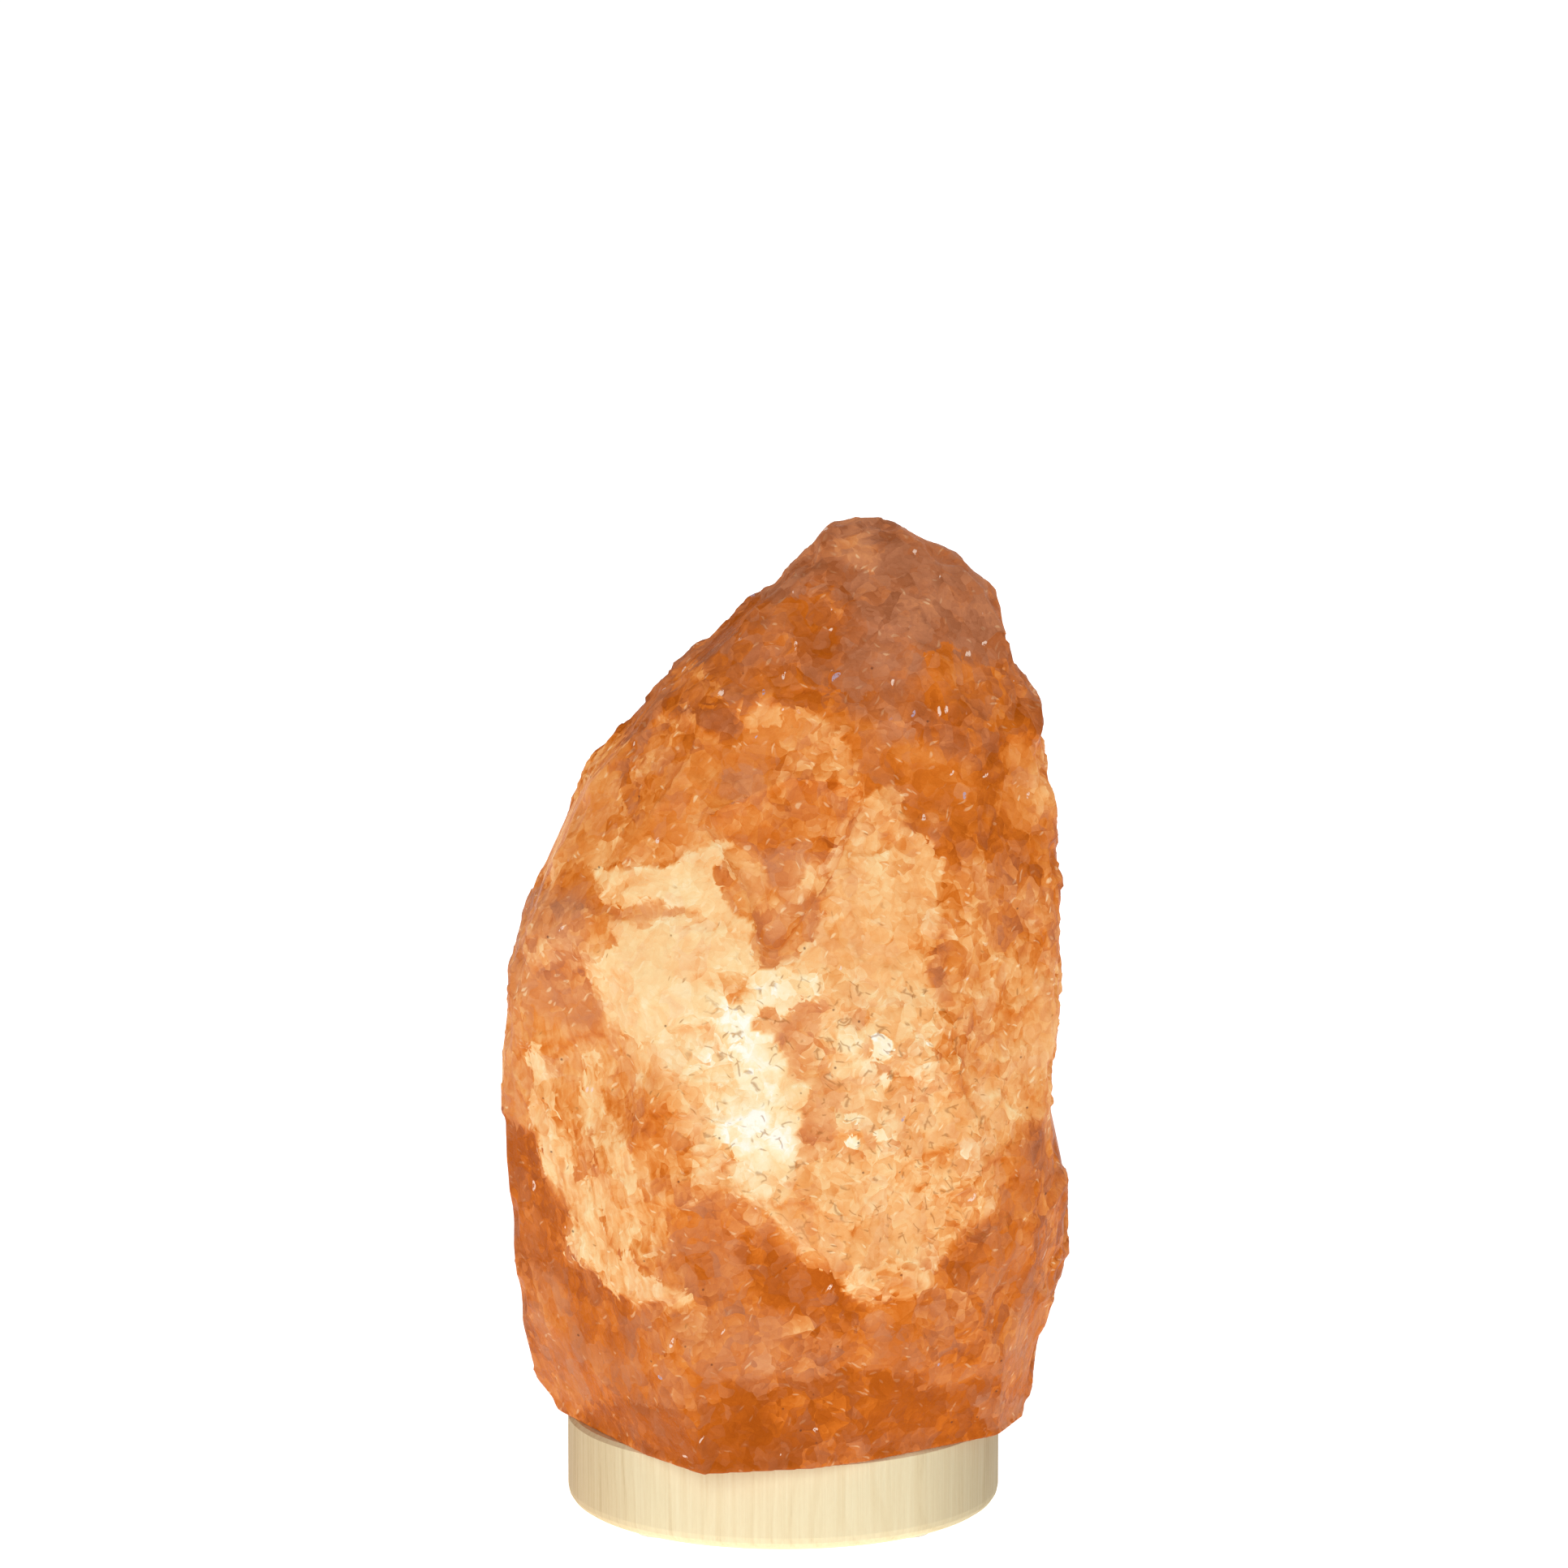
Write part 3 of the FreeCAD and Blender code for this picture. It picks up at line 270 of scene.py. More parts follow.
# Patches painted softly below those: (glow, haze, width of the edge, outline).
SOFT_PATCHES = (
    (0.20, 0.85, 9, (
        (7.8, 282), (29.9, 282), (70, 262), (70, 233.5), (47.8, 240.2), (30, 229), (21.1, 224.4),
        (12.2, 233.5), (7.8, 242.4), (-1.1, 249.2), (-10, 262))),
    (0.22, 0.25, 4, (
        (-18.9, 249.2), (-5.5, 255.9), (2.2, 242.4), (10, 240.2), (14.4, 236.8), (24.5, 233.5),
        (28.9, 227.8), (18.9, 222.2), (7.8, 224.9), (2.2, 224.9), (-5.6, 227.6), (-14.5, 226.7),
        (-21, 235.5))),
    (0.36, 0.0, 6, (
        (20, 221.1), (30.1, 217.7), (41.2, 210.9), (54.6, 206.4), (61.3, 210.9), (72.5, 197.3),
        (72.6, 186), (59.2, 183.7), (48, 184.9), (36.8, 190.5), (32.3, 197.3), (30.1, 204.1),
        (23.4, 197.3), (21.6, 206.4))),
    (0.46, 0.75, 6, (
        (-80, 174.7), (-59.2, 172.4), (-51.4, 167.8), (-54.8, 158.7), (-49.3, 149.6),
        (-43.7, 140.5), (-54.9, 133.6), (-63.9, 137), (-70.6, 140.5), (-80, 150))),
    (0.46, 0.7, 5, (
        (39.2, 161), (47, 158.7), (50.4, 151.9), (48.2, 142.8), (41.5, 140.5), (38.1, 149.6))),
    (0.64, 0.1, 4, (
        (44.7, 170.1), (52.6, 161), (59.3, 155.3), (66, 153), (80, 154.2), (82, 126.7), (75, 112),
        (68.6, 106.1), (61.8, 104.9), (57.3, 108.4), (55, 119.9), (50.5, 126.7), (47.1, 135.9),
        (44.8, 145))),
    (0.58, 0.1, 5, (
        (-49.4, 129), (-39.3, 126.7), (-30.3, 119.9), (-27, 108.4), (-25.9, 96.9), (-21.4, 87.6),
        (-23.6, 83), (-32.7, 85.3), (-38.3, 94.6), (-43.8, 104.9), (-47.8, 117.6))),
    (0.66, 0.35, 5, (
        (16.8, 138.2), (30.3, 137), (37, 129), (39.3, 117.6), (36, 103.8), (30.4, 96.9),
        (19.1, 94.6), (11.2, 99.2), (14.6, 108.4), (19.1, 117.6), (18, 126.7))),
    (0.68, 0.05, 6, (
        (10.1, 94.6), (21.4, 98), (41.6, 99.2), (52.9, 94.6), (59.7, 85.3), (53, 73.8), (41.7, 68),
        (19.2, 64.5), (12.4, 68), (4.5, 73.8), (-1.1, 83), (4.5, 89.9))),
    (0.33, 0.3, 8, (
        (66.8, 107.2), (86, 103.8), (86, 57.6), (68.9, 55.2), (59.8, 59.9), (50.8, 57.6),
        (44, 64.5), (46.2, 71.5), (57.4, 80.7), (64.1, 92.3))),
    (0.24, 0.3, 6, (
        (-84, 69.6), (-62, 64.1), (-51.9, 57.1), (-37.3, 54.8), (-30.5, 48.3), (-23.7, 34.3),
        (-30.6, 23.8), (-41.9, 19.2), (-60, 24.5), (-84, 36.7))),
)
# Where the block breaks in small bricks, where it is drawn out in upright strands, and
# where glinting facets get painted highlights.
BRICKS = ((-15, 150), (42, 150), (60, 120), (62, 78), (20, 66), (-12, 92), (-32, 110))
STRANDS = ((-72, 134), (-44, 134), (-30, 84), (-22, 58), (-60, 62), (-66, 96))
PAINTED_GLINT_PLACES = ((-44, 238), (-8, 275), (34, 282), (66, 262), (74, 184), (40, 190), (20, 222),
          (-30, 222))


# ------------------------------ arrays
def smooth(low, high, value):
    t = np.clip((value - low) / (high - low), 0.0, 1.0)
    return t * t * (3.0 - 2.0 * t)


def ripple(points, size, rng, waves=9):
    """Smooth random field of about -1 to 1 with features of one size."""
    total = np.zeros(len(points))
    for _ in range(waves):
        way = rng.normal(size=3)
        way *= 2 * math.pi / size * rng.uniform(0.7, 1.4) / np.linalg.norm(way)
        total += np.sin(points @ way + rng.uniform(0, 2 * math.pi))
    return total / math.sqrt(waves)


def inside_distance(spots, outline):
    """Distance from each spot into an outline, negative outside, kept to FAR_MM."""
    corners = np.array(outline, float)
    result = np.full(len(spots), -FAR_MM)
    close = np.all((spots > corners.min(axis=0) - FAR_MM)
                   & (spots < corners.max(axis=0) + FAR_MM), axis=1)
    here = spots[close]
    nearest = np.full(len(here), FAR_MM)
    inside = np.zeros(len(here), bool)
    for a, b in zip(corners, np.roll(corners, -1, axis=0)):
        run = b - a
        along = np.clip((here - a) @ run / (run @ run), 0.0, 1.0)
        gap = np.linalg.norm(here - a - along[:, None] * run, axis=1)
        nearest = np.minimum(nearest, gap)
        crosses = (a[1] > here[:, 1]) != (b[1] > here[:, 1])
        rise = run[1] if run[1] else 1.0
        inside ^= crosses & (here[:, 0] < a[0] + (here[:, 1] - a[1]) / rise * run[0])
    result[close] = np.where(inside, nearest, -nearest)
    return result


def front_plane(points):
    """Where the line of sight to each point meets the upright plane through the axis."""
    ratio = EYE_BACK * 1000 / (EYE_BACK * 1000 + points[:, 1])
    across = points[:, 0] * ratio
    up = EYE_HEIGHT * 1000 - (EYE_HEIGHT * 1000 - points[:, 2]) * ratio
    return np.column_stack((across, up))


def neighbour_mean(values, edges):
    """Mean of each vertex's neighbours."""
    ends = np.concatenate((edges[:, 0], edges[:, 1]))
    others = np.concatenate((edges[:, 1], edges[:, 0]))
    count = np.maximum(np.bincount(ends, minlength=len(values)), 1)
    columns = [np.bincount(ends, values[others, i], len(values)) / count
               for i in range(values.shape[1])]
    return np.column_stack(columns)


# ------------------------------ mesh helpers
def even_copy(node, name, voxel):
    """A new piece with a node's shape, remeshed in even quads."""
    piece = bpy.data.objects.new(name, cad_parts[node].data.copy())
    bpy.context.scene.collection.objects.link(piece)
    remesh = piece.modifiers.new("even", "REMESH")
    remesh.mode = "VOXEL"
    remesh.voxel_size = voxel
    graph = bpy.context.evaluated_depsgraph_get()
    mesh = bpy.data.meshes.new_from_object(piece.evaluated_get(graph))
    piece.modifiers.clear()
    piece.data = mesh
    return piece


def read_points(mesh):
    flat = np.empty(len(mesh.vertices) * 3, np.float32)
    mesh.vertices.foreach_get("co", flat)
    return flat.reshape(-1, 3).astype(float) * 1000


def read_normals(mesh):
    flat = np.empty(len(mesh.vertices) * 3, np.float32)
    mesh.vertices.foreach_get("normal", flat)
    return flat.reshape(-1, 3).astype(float)


def read_edges(mesh):
    flat = np.empty(len(mesh.edges) * 2, np.int32)
    mesh.edges.foreach_get("vertices", flat)
    return flat.reshape(-1, 2)


def write_points(mesh, points):
    mesh.vertices.foreach_set("co", (points / 1000).astype(np.float32).ravel())
    mesh.update()


def write_channels(mesh, name, *channels):
    """Up to four values for each vertex, as one colour attribute."""
    table = np.zeros((len(mesh.vertices), 4), np.float32)
    table[:, :len(channels)] = np.column_stack(channels)
    attribute = mesh.attributes.new(name, "FLOAT_COLOR", "POINT")
    attribute.data.foreach_set("color", table.ravel())


# ------------------------------ hewing the block
CHIPS = 620
CHIP_REACH_MM = (6, 18)
CHIP_DEPTH_MM = (0.1, 0.6)
CHIP_TILT = 0.15                        # spread of a flat's facing
CHIP_STEP_MM = 1.0                      # no chip takes more than this
SCOOPS = 380
SCOOP_RADIUS_MM = (7, 15)
SCOOP_DEPTH_MM = (0.25, 0.8)
SCALLOP_RADIUS_MM = (7, 10)
SCALLOP_DEPTH_MM = (1.2, 1.8)
SCALLOP_SPACING_MM = 9.5
CELL_SIZES_MM = ((7.0, 0.30), (3.4, 0.20))      # (size, depth)


def free_share(points):
    """1 where the block may be worked: not at its seat, nor inside the bore."""
    radius = np.hypot(points[:, 0], points[:, 1])
    in_bore = (radius < BORE_R_MM + 3) & (points[:, 2] < BORE_TOP_MM + 3)
    return smooth(SEAT_MM + 0.3, SEAT_MM + 5, points[:, 2]) * ~in_bore


def chip_flats(points, normals, free, rng):
    """Small tilted flats: what stands beyond each one is taken down to it."""
    open_spots = np.flatnonzero(free > 0.5)
    for _ in range(CHIPS):
        spot = rng.choice(open_spots)
        facing = normals[spot] + rng.normal(0, CHIP_TILT, 3)
        facing /= np.linalg.norm(facing)
        offset = points - points[spot]
        near = np.linalg.norm(offset, axis=1) < rng.uniform(*CHIP_REACH_MM)
        beyond = offset @ facing + rng.uniform(*CHIP_DEPTH_MM)
        cut = np.clip(beyond, 0, CHIP_STEP_MM) * near * free
        points -= cut[:, None] * facing


def scoop(points, centre, radius, limit, free):
    """Push what lies within a ball out to its surface."""
    offset = points - centre
    away = np.linalg.norm(offset, axis=1)
    push = np.clip(radius - away, 0, limit) * free
    points += offset / np.maximum(away, 1e-6)[:, None] * push[:, None]


def scoop_shells(points, normals, free, rng):
    """Shallow shell-shaped hollows all over."""
    open_spots = np.flatnonzero(free > 0.5)
    for _ in range(SCOOPS):
        spot = rng.choice(open_spots)
        radius = rng.uniform(*SCOOP_RADIUS_MM)
        depth = rng.uniform(*SCOOP_DEPTH_MM)
        scoop(points, points[spot] + normals[spot] * (radius - depth), radius,
              2 * depth, free)


def scallop_sides(points, normals, free, rng):
    """A row of bites along the edges that the front view outlines."""
    sideways = (np.abs(normals[:, 1]) < 0.35) & (free > 0.5) & (points[:, 1] < 35)
    spots = rng.permutation(np.flatnonzero(sideways))
    taken = np.empty((0, 3))
    for spot in spots:
        if len(taken) and np.min(np.linalg.norm(taken - points[spot], axis=1)) < (
                SCALLOP_SPACING_MM):
            continue
        taken = np.vstack((taken, points[spot]))
        radius = rng.uniform(*SCALLOP_RADIUS_MM)
        depth = rng.uniform(*SCALLOP_DEPTH_MM)
        scoop(points, points[spot] + normals[spot] * (radius - depth), radius,
              depth, free)


def cleave(points, normals, free, rng):
    """Blocky relief: salt splits in cubes, so cells of a turned grid sit at odd depths."""
    for size, depth in CELL_SIZES_MM:
        turn, _ = np.linalg.qr(rng.normal(size=(3, 3)))
        turned = points @ turn
        for axis in range(3):
            turned[:, axis] += 0.35 * size * ripple(points, 4 * size, rng)
        key = np.floor(turned / size) @ np.array((12.9898, 78.233, 37.719))
        level = np.modf(np.abs(np.sin(key)) * 43758.5453)[0]
        points += normals * (depth * (0.5 - level) * free)[:, None]


def patch_layers(spots, front):
    """Each layer's distance into its nearest patch, with that patch's looks."""
    layers = []
    for layer in range(LAYERS):
        distance = np.full(len(spots), -FAR_MM)
        looks = np.zeros((len(spots), 4))
        for _, own_layer, glow, haze, rim, relief, outline in PATCHES:
            if own_layer != layer:
                continue
            into = inside_distance(spots, outline)
            nearer = into > distance
            distance[nearer] = into[nearer]
            looks[nearer] = glow, haze, rim, relief
        distance = distance * front - FAR_MM * (1 - front)
        layers.append((distance, *looks.T))
    return layers


def paint(points, spots, front):
    """Glow and haze of the block below its layers of patches."""
    x, y, z = points.T
    bearing = np.degrees(np.abs(np.arctan2(x, -y)))
    around = 1 - 0.42 * smooth(0, 78, bearing) + 0.25 * smooth(80, 135, bearing)
    level = np.exp(-((z - HOT_HEIGHT_MM) / 66) ** 2)
    heart = np.exp(-((x - 4) / 30) ** 2 - ((z - 118) / 38) ** 2) * (y < 0)
    foot = smooth(78, 45, z)
    glow = 0.16 + 0.66 * level * around + 0.06 * heart - 0.05 * foot
    haze = 0.2 + 0.4 * smooth(205, 262, z)
    for to_glow, to_haze, edge, outline in SOFT_PATCHES:
        share = smooth(-edge / 2, edge / 2, inside_distance(spots, outline)) * front
        glow += share * 0.9 * (to_glow - glow)
        haze += share * 0.9 * (to_haze - haze)
    return glow, haze


def hewn_salt():
    rng = np.random.default_rng(SEED)
    piece = even_copy("salt_crystal", "hewn_salt", VOXEL)
    mesh = piece.data
    edges = read_edges(mesh)
    solid_points = read_points(mesh)
    solid_normals = read_normals(mesh)
    points = solid_points.copy()
    free = free_share(points)
    chip_flats(points, solid_normals, free, rng)
    scoop_shells(points, solid_normals, free, rng)
    scallop_sides(points, solid_normals, free, rng)
    front = smooth(*FRONT_DEPTHS_MM, points[:, 1]) * (free > 0)
    wobble = np.column_stack([ripple(points, WOBBLE_SIZE_MM, rng) for _ in range(2)])
    spots = front_plane(points) + WOBBLE_SHARE * wobble
    layers = patch_layers(spots, front)
    for distance, _, _, _, relief in layers:
        points += solid_normals * (relief * smooth(-0.8, 1.2, distance) * free)[:, None]
    cleave(points, solid_normals, free, rng)
    height = np.einsum("ij,ij->i", points - solid_points, solid_normals)
    height = np.clip(height + RELIEF_RAISE_MM * free, -RELIEF_LIMIT_MM, RELIEF_LIMIT_MM)
    points = solid_points + solid_normals * height[:, None]
    points = np.clip(points, solid_points.min(axis=0), solid_points.max(axis=0))
    write_points(mesh, points)

    mean = neighbour_mean(neighbour_mean(points, edges), edges)
    normals = read_normals(mesh)
    # painted light and shade: how far each point stands out from its neighbours; ridges are painted
    # paler, creases darker
    ridge_light_crease_shade = np.einsum("ij,ij->i", points - mean, normals) / RIDGE_MM
    glow, haze = paint(points, spots, front)
    # painted shade: faces seen edge-on from the front view are painted darker and milkier
    painted_edge_shade = smooth(0.35, 0.0, np.abs(normals @ np.array(FRONT_WAY)))
    # painted light and shade: relief that faces the painted light's way is painted paler, relief
    # facing away darker
    painted_relief_light = (normals - solid_normals) @ np.array(PAINTED_LIGHT_WAY)
    glow += np.clip(0.30 * painted_relief_light, -0.12, 0.12) - 0.14 * painted_edge_shade
    haze += 0.35 * painted_edge_shade
    # painted light: the bore's walls, lit by the bulb, are painted glowing bright
    inside = (free == 0) & (points[:, 2] > SEAT_MM + 1)
    glow = np.where(inside, 0.9, glow)
    write_channels(mesh, "look", glow, haze, np.clip(ridge_light_crease_shade, -1, 1), 1 - front)
    moods = [smooth(-8, 6, inside_distance(spots, outline)) * front
             for outline in (BRICKS, STRANDS, PAINTED_GLINT_PLACES)]
    write_channels(mesh, "mood", *moods)
    for number, (distance, glow, haze, rim, _) in enumerate(layers):
        write_channels(mesh, f"layer_{number}", distance, glow, haze, rim)
    mesh.shade_smooth()
    mesh.materials.clear()
    mesh.materials.append(salt_material())
    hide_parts("salt_crystal")
    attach(piece, "base")


# ------------------------------ node wiring
class Wiring:
    """One material and short calls that add its nodes."""

    def __init__(self, name):
        self.material = bpy.data.materials.new(name)
        self.material.use_nodes = True
        self.tree = self.material.node_tree
        self.tree.nodes.clear()
        self.shader = self.tree.nodes.new("ShaderNodeBsdfPrincipled")
        output = self.tree.nodes.new("ShaderNodeOutputMaterial")
        self.tree.links.new(self.shader.outputs[0], output.inputs["Surface"])
        # what glows is seen, but isn't sampled as a light: renders stay short
        self.material.cycles.emission_sampling = "NONE"

    def feed(self, socket, value):
        if isinstance(value, bpy.types.NodeSocket):
            self.tree.links.new(value, socket)
        else:
            socket.default_value = value

    def set(self, **values):
        """Feed the shader's sockets; underscores stand for spaces."""
        for name, value in values.items():
            self.feed(self.shader.inputs[name.replace("_", " ")], value)

    def coords(self):
        """Place on the piece in mm."""
        node = self.tree.nodes.new("ShaderNodeTexCoord")
        return self.vector("SCALE", node.outputs["Object"], scale=1000.0)

    def vector(self, operation, a, b=None, c=None, scale=None, output="Vector"):
        node = self.tree.nodes.new("ShaderNodeVectorMath")
        node.operation = operation
        for socket, value in zip(node.inputs, (a, b, c, scale)):
            if value is not None:
                self.feed(socket, value)
        return node.outputs[output]

    def turned(self, vector, angles=(0, 0, 0), stretch=(1, 1, 1)):
        """Turned, then drawn out along its own axes."""
        node = self.tree.nodes.new("ShaderNodeMapping")
        node.vector_type = "TEXTURE"
        self.feed(node.inputs["Vector"], vector)
        node.inputs["Rotation"].default_value = [math.radians(a) for a in angles]
        node.inputs["Scale"].default_value = stretch
        return node.outputs["Vector"]

    def noise(self, vector, size, detail=2.0, rough=0.5, colour=False):
        node = self.tree.nodes.new("ShaderNodeTexNoise")
        self.feed(node.inputs["Vector"], vector)
        node.inputs["Scale"].default_value = 1 / size
        node.inputs["Detail"].default_value = detail
        node.inputs["Roughness"].default_value = rough
        return node.outputs["Color" if colour else "Fac"]

    def bent(self, vector, size, reach):
        """Places pushed about by a slow noise."""
        push = self.noise(vector, size, 1.0, colour=True)
        push = self.vector("SUBTRACT", push, (0.5, 0.5, 0.5))
        return self.vector("ADD", vector, self.vector("SCALE", push, scale=2 * reach))

    def cells(self, vector, size, feature="F1"):
        node = self.tree.nodes.new("ShaderNodeTexVoronoi")
        node.feature = feature
        self.feed(node.inputs["Vector"], vector)
        node.inputs["Scale"].default_value = 1 / size
        return node.outputs

    def math(self, operation, a, b=0.0, clamp=False):
        node = self.tree.nodes.new("ShaderNodeMath")
        node.operation = operation
        node.use_clamp = clamp
        self.feed(node.inputs[0], a)
        self.feed(node.inputs[1], b)
        return node.outputs[0]

    def times(self, *factors):
        result = factors[0]
        for factor in factors[1:]:
            result = self.math("MULTIPLY", result, factor)
        return result

    def total(self, *terms):
        """Sum of sockets, numbers and tuples of factors."""
        result = None
        for term in terms:
            value = self.times(*term) if isinstance(term, tuple) else term
            result = value if result is None else self.math("ADD", result, value)
        return result

    def remap(self, value, low, high, to_low=0.0, to_high=1.0, smoothly=False):
        node = self.tree.nodes.new("ShaderNodeMapRange")
        node.interpolation_type = "SMOOTHSTEP" if smoothly else "LINEAR"
        for name, number in (("Value", value), ("From Min", low), ("From Max", high),
                             ("To Min", to_low), ("To Max", to_high)):
            self.feed(node.inputs[name], number)
        return node.outputs["Result"]

    def blend(self, share, a, b):
        """Mix of two numbers."""
        node = self.tree.nodes.new("ShaderNodeMix")
        self.feed(node.inputs[0], share)
        self.feed(node.inputs[2], a)
        self.feed(node.inputs[3], b)
        return node.outputs[0]

    def tint(self, share, a, b):
        """Mix of two colours."""
        node = self.tree.nodes.new("ShaderNodeMix")
        node.data_type = "RGBA"
        self.feed(node.inputs[0], share)
        self.feed(node.inputs[6], a)
        self.feed(node.inputs[7], b)
        return node.outputs[2]

    def ramp(self, value, stops):
        node = self.tree.nodes.new("ShaderNodeValToRGB")
        self.feed(node.inputs[0], value)
        elements = node.color_ramp.elements
        while len(elements) < len(stops):
            elements.new(1.0)
        for element, (place, colour) in zip(elements, stops):
            element.position = place
            element.color = (*colour, 1.0)
        return node.outputs[0]

    def parts(self, colour):
        node = self.tree.nodes.new("ShaderNodeSeparateColor")
        self.feed(node.inputs[0], colour)
        return node.outputs

    def attribute(self, name):
        """The four channels of a colour attribute."""
        node = self.tree.nodes.new("ShaderNodeAttribute")
        node.attribute_name = name
        return [*self.parts(node.outputs["Color"]), node.outputs["Alpha"]]

    def bump(self, height, strength, distance, normal=None):
        node = self.tree.nodes.new("ShaderNodeBump")
        node.inputs["Strength"].default_value = strength
        node.inputs["Distance"].default_value = distance
        self.feed(node.inputs["Height"], height)
        if normal is not None:
            self.feed(node.inputs["Normal"], normal)
        return node.outputs[0]

    def strokes(self, vector, lean, size, length, share, width):
        """Short straight strokes, leaning from upright to the right by some degrees."""
        spread = self.turned(vector, (0, lean, 0), (1, STROKE_REACH, length))
        cells = self.cells(spread, size)
        shown = self.remap(self.parts(cells["Color"])[0], 1 - share, 1.02 - share)
        body = self.remap(cells["Distance"], 0.6 * width, width, 1.0, 0.0)
        return self.times(body, shown)


# ------------------------------ salt
CLEAR_SALT = (
    (0.00, (0.40, 0.080, 0.004)), (0.20, (0.50, 0.108, 0.007)),
    (0.35, (0.66, 0.160, 0.014)), (0.50, (0.77, 0.245, 0.046)),
    (0.62, (0.86, 0.370, 0.110)), (0.74, (0.93, 0.490, 0.190)),
    (0.85, (0.97, 0.680, 0.340)), (0.94, (1.00, 0.860, 0.560)),
    (1.00, (1.00, 0.980, 0.860)),
)
MILKY_SALT = (
    (0.00, (0.38, 0.120, 0.046)), (0.20, (0.48, 0.175, 0.080)),
    (0.40, (0.60, 0.225, 0.096)), (0.50, (0.69, 0.270, 0.108)),
    (0.62, (0.77, 0.340, 0.145)), (0.76, (0.89, 0.480, 0.230)),
    (0.90, (0.98, 0.780, 0.500)), (1.00, (1.00, 0.940, 0.780)),
)
CRACK_COLOUR = (0.36, 0.12, 0.022, 1.0)
SPECK_COLOUR = (0.10, 0.035, 0.02, 1.0)
STROKE_COLOUR = (1.0, 0.74, 0.42, 1.0)
# painted highlights of glinting facets, mostly warm, a few cool
PAINTED_GLINT_COLOUR = (0.92, 0.66, 0.52, 1.0)
PAINTED_COOL_GLINT_COLOUR = (0.46, 0.34, 0.42, 1.0)
DARK = (0.02, 0.006, 0.002, 1.0)
ROLL_OFF = 0.76                         # above this, more glow counts for less
STROKE_REACH = 5.0                      # strokes are cuts that run this far inwards


def facet_tones(w, vector, size, turn):
    """Broken facets: each one's tones, and a painted shade that runs across it, as if it sloped."""
    cells = w.cells(w.turned(vector, turn), size)
    own = w.vector("SUBTRACT", cells["Color"], (0.5, 0.5, 0.5))
    across = w.vector("SUBTRACT", w.turned(vector, turn), cells["Position"])
    slope = w.math("DIVIDE", w.vector("DOT_PRODUCT", own, across, output="Value"), size)
    return w.parts(cells["Color"]), slope


def lay_patches(w, place, glow, haze, stray):
    """Lay the patches over the block's own glow and haze, layer by layer."""
    softness = w.remap(w.noise(place, 11.0, 1.0), 0.45, 0.65, 0.3, 4.5)
    for number in range(LAYERS):
        distance, to_glow, to_haze, rim = w.attribute(f"layer_{number}")
        distance = w.math("ADD", distance, stray)
        share = w.remap(distance, w.times(softness, -1.0), softness, 0.0, 0.9,
                        smoothly=True)
        glow = w.blend(share, glow, to_glow)
        haze = w.blend(share, haze, to_haze)
        # painted shade: a thin line just outside each patch's edge is painted darker; the rim's
        # glow lies just inside the edge
        off_rim = w.math("ABSOLUTE", w.math("SUBTRACT", distance, 0.5))
        off_dark = w.math("ABSOLUTE", w.math("ADD", distance, 0.45))
        glow = w.total(glow, (w.remap(off_rim, 0.0, 0.9, 1.0, 0.0), rim),
                       w.remap(off_dark, 0.0, 0.5, -0.04, 0.0))
    return glow, haze


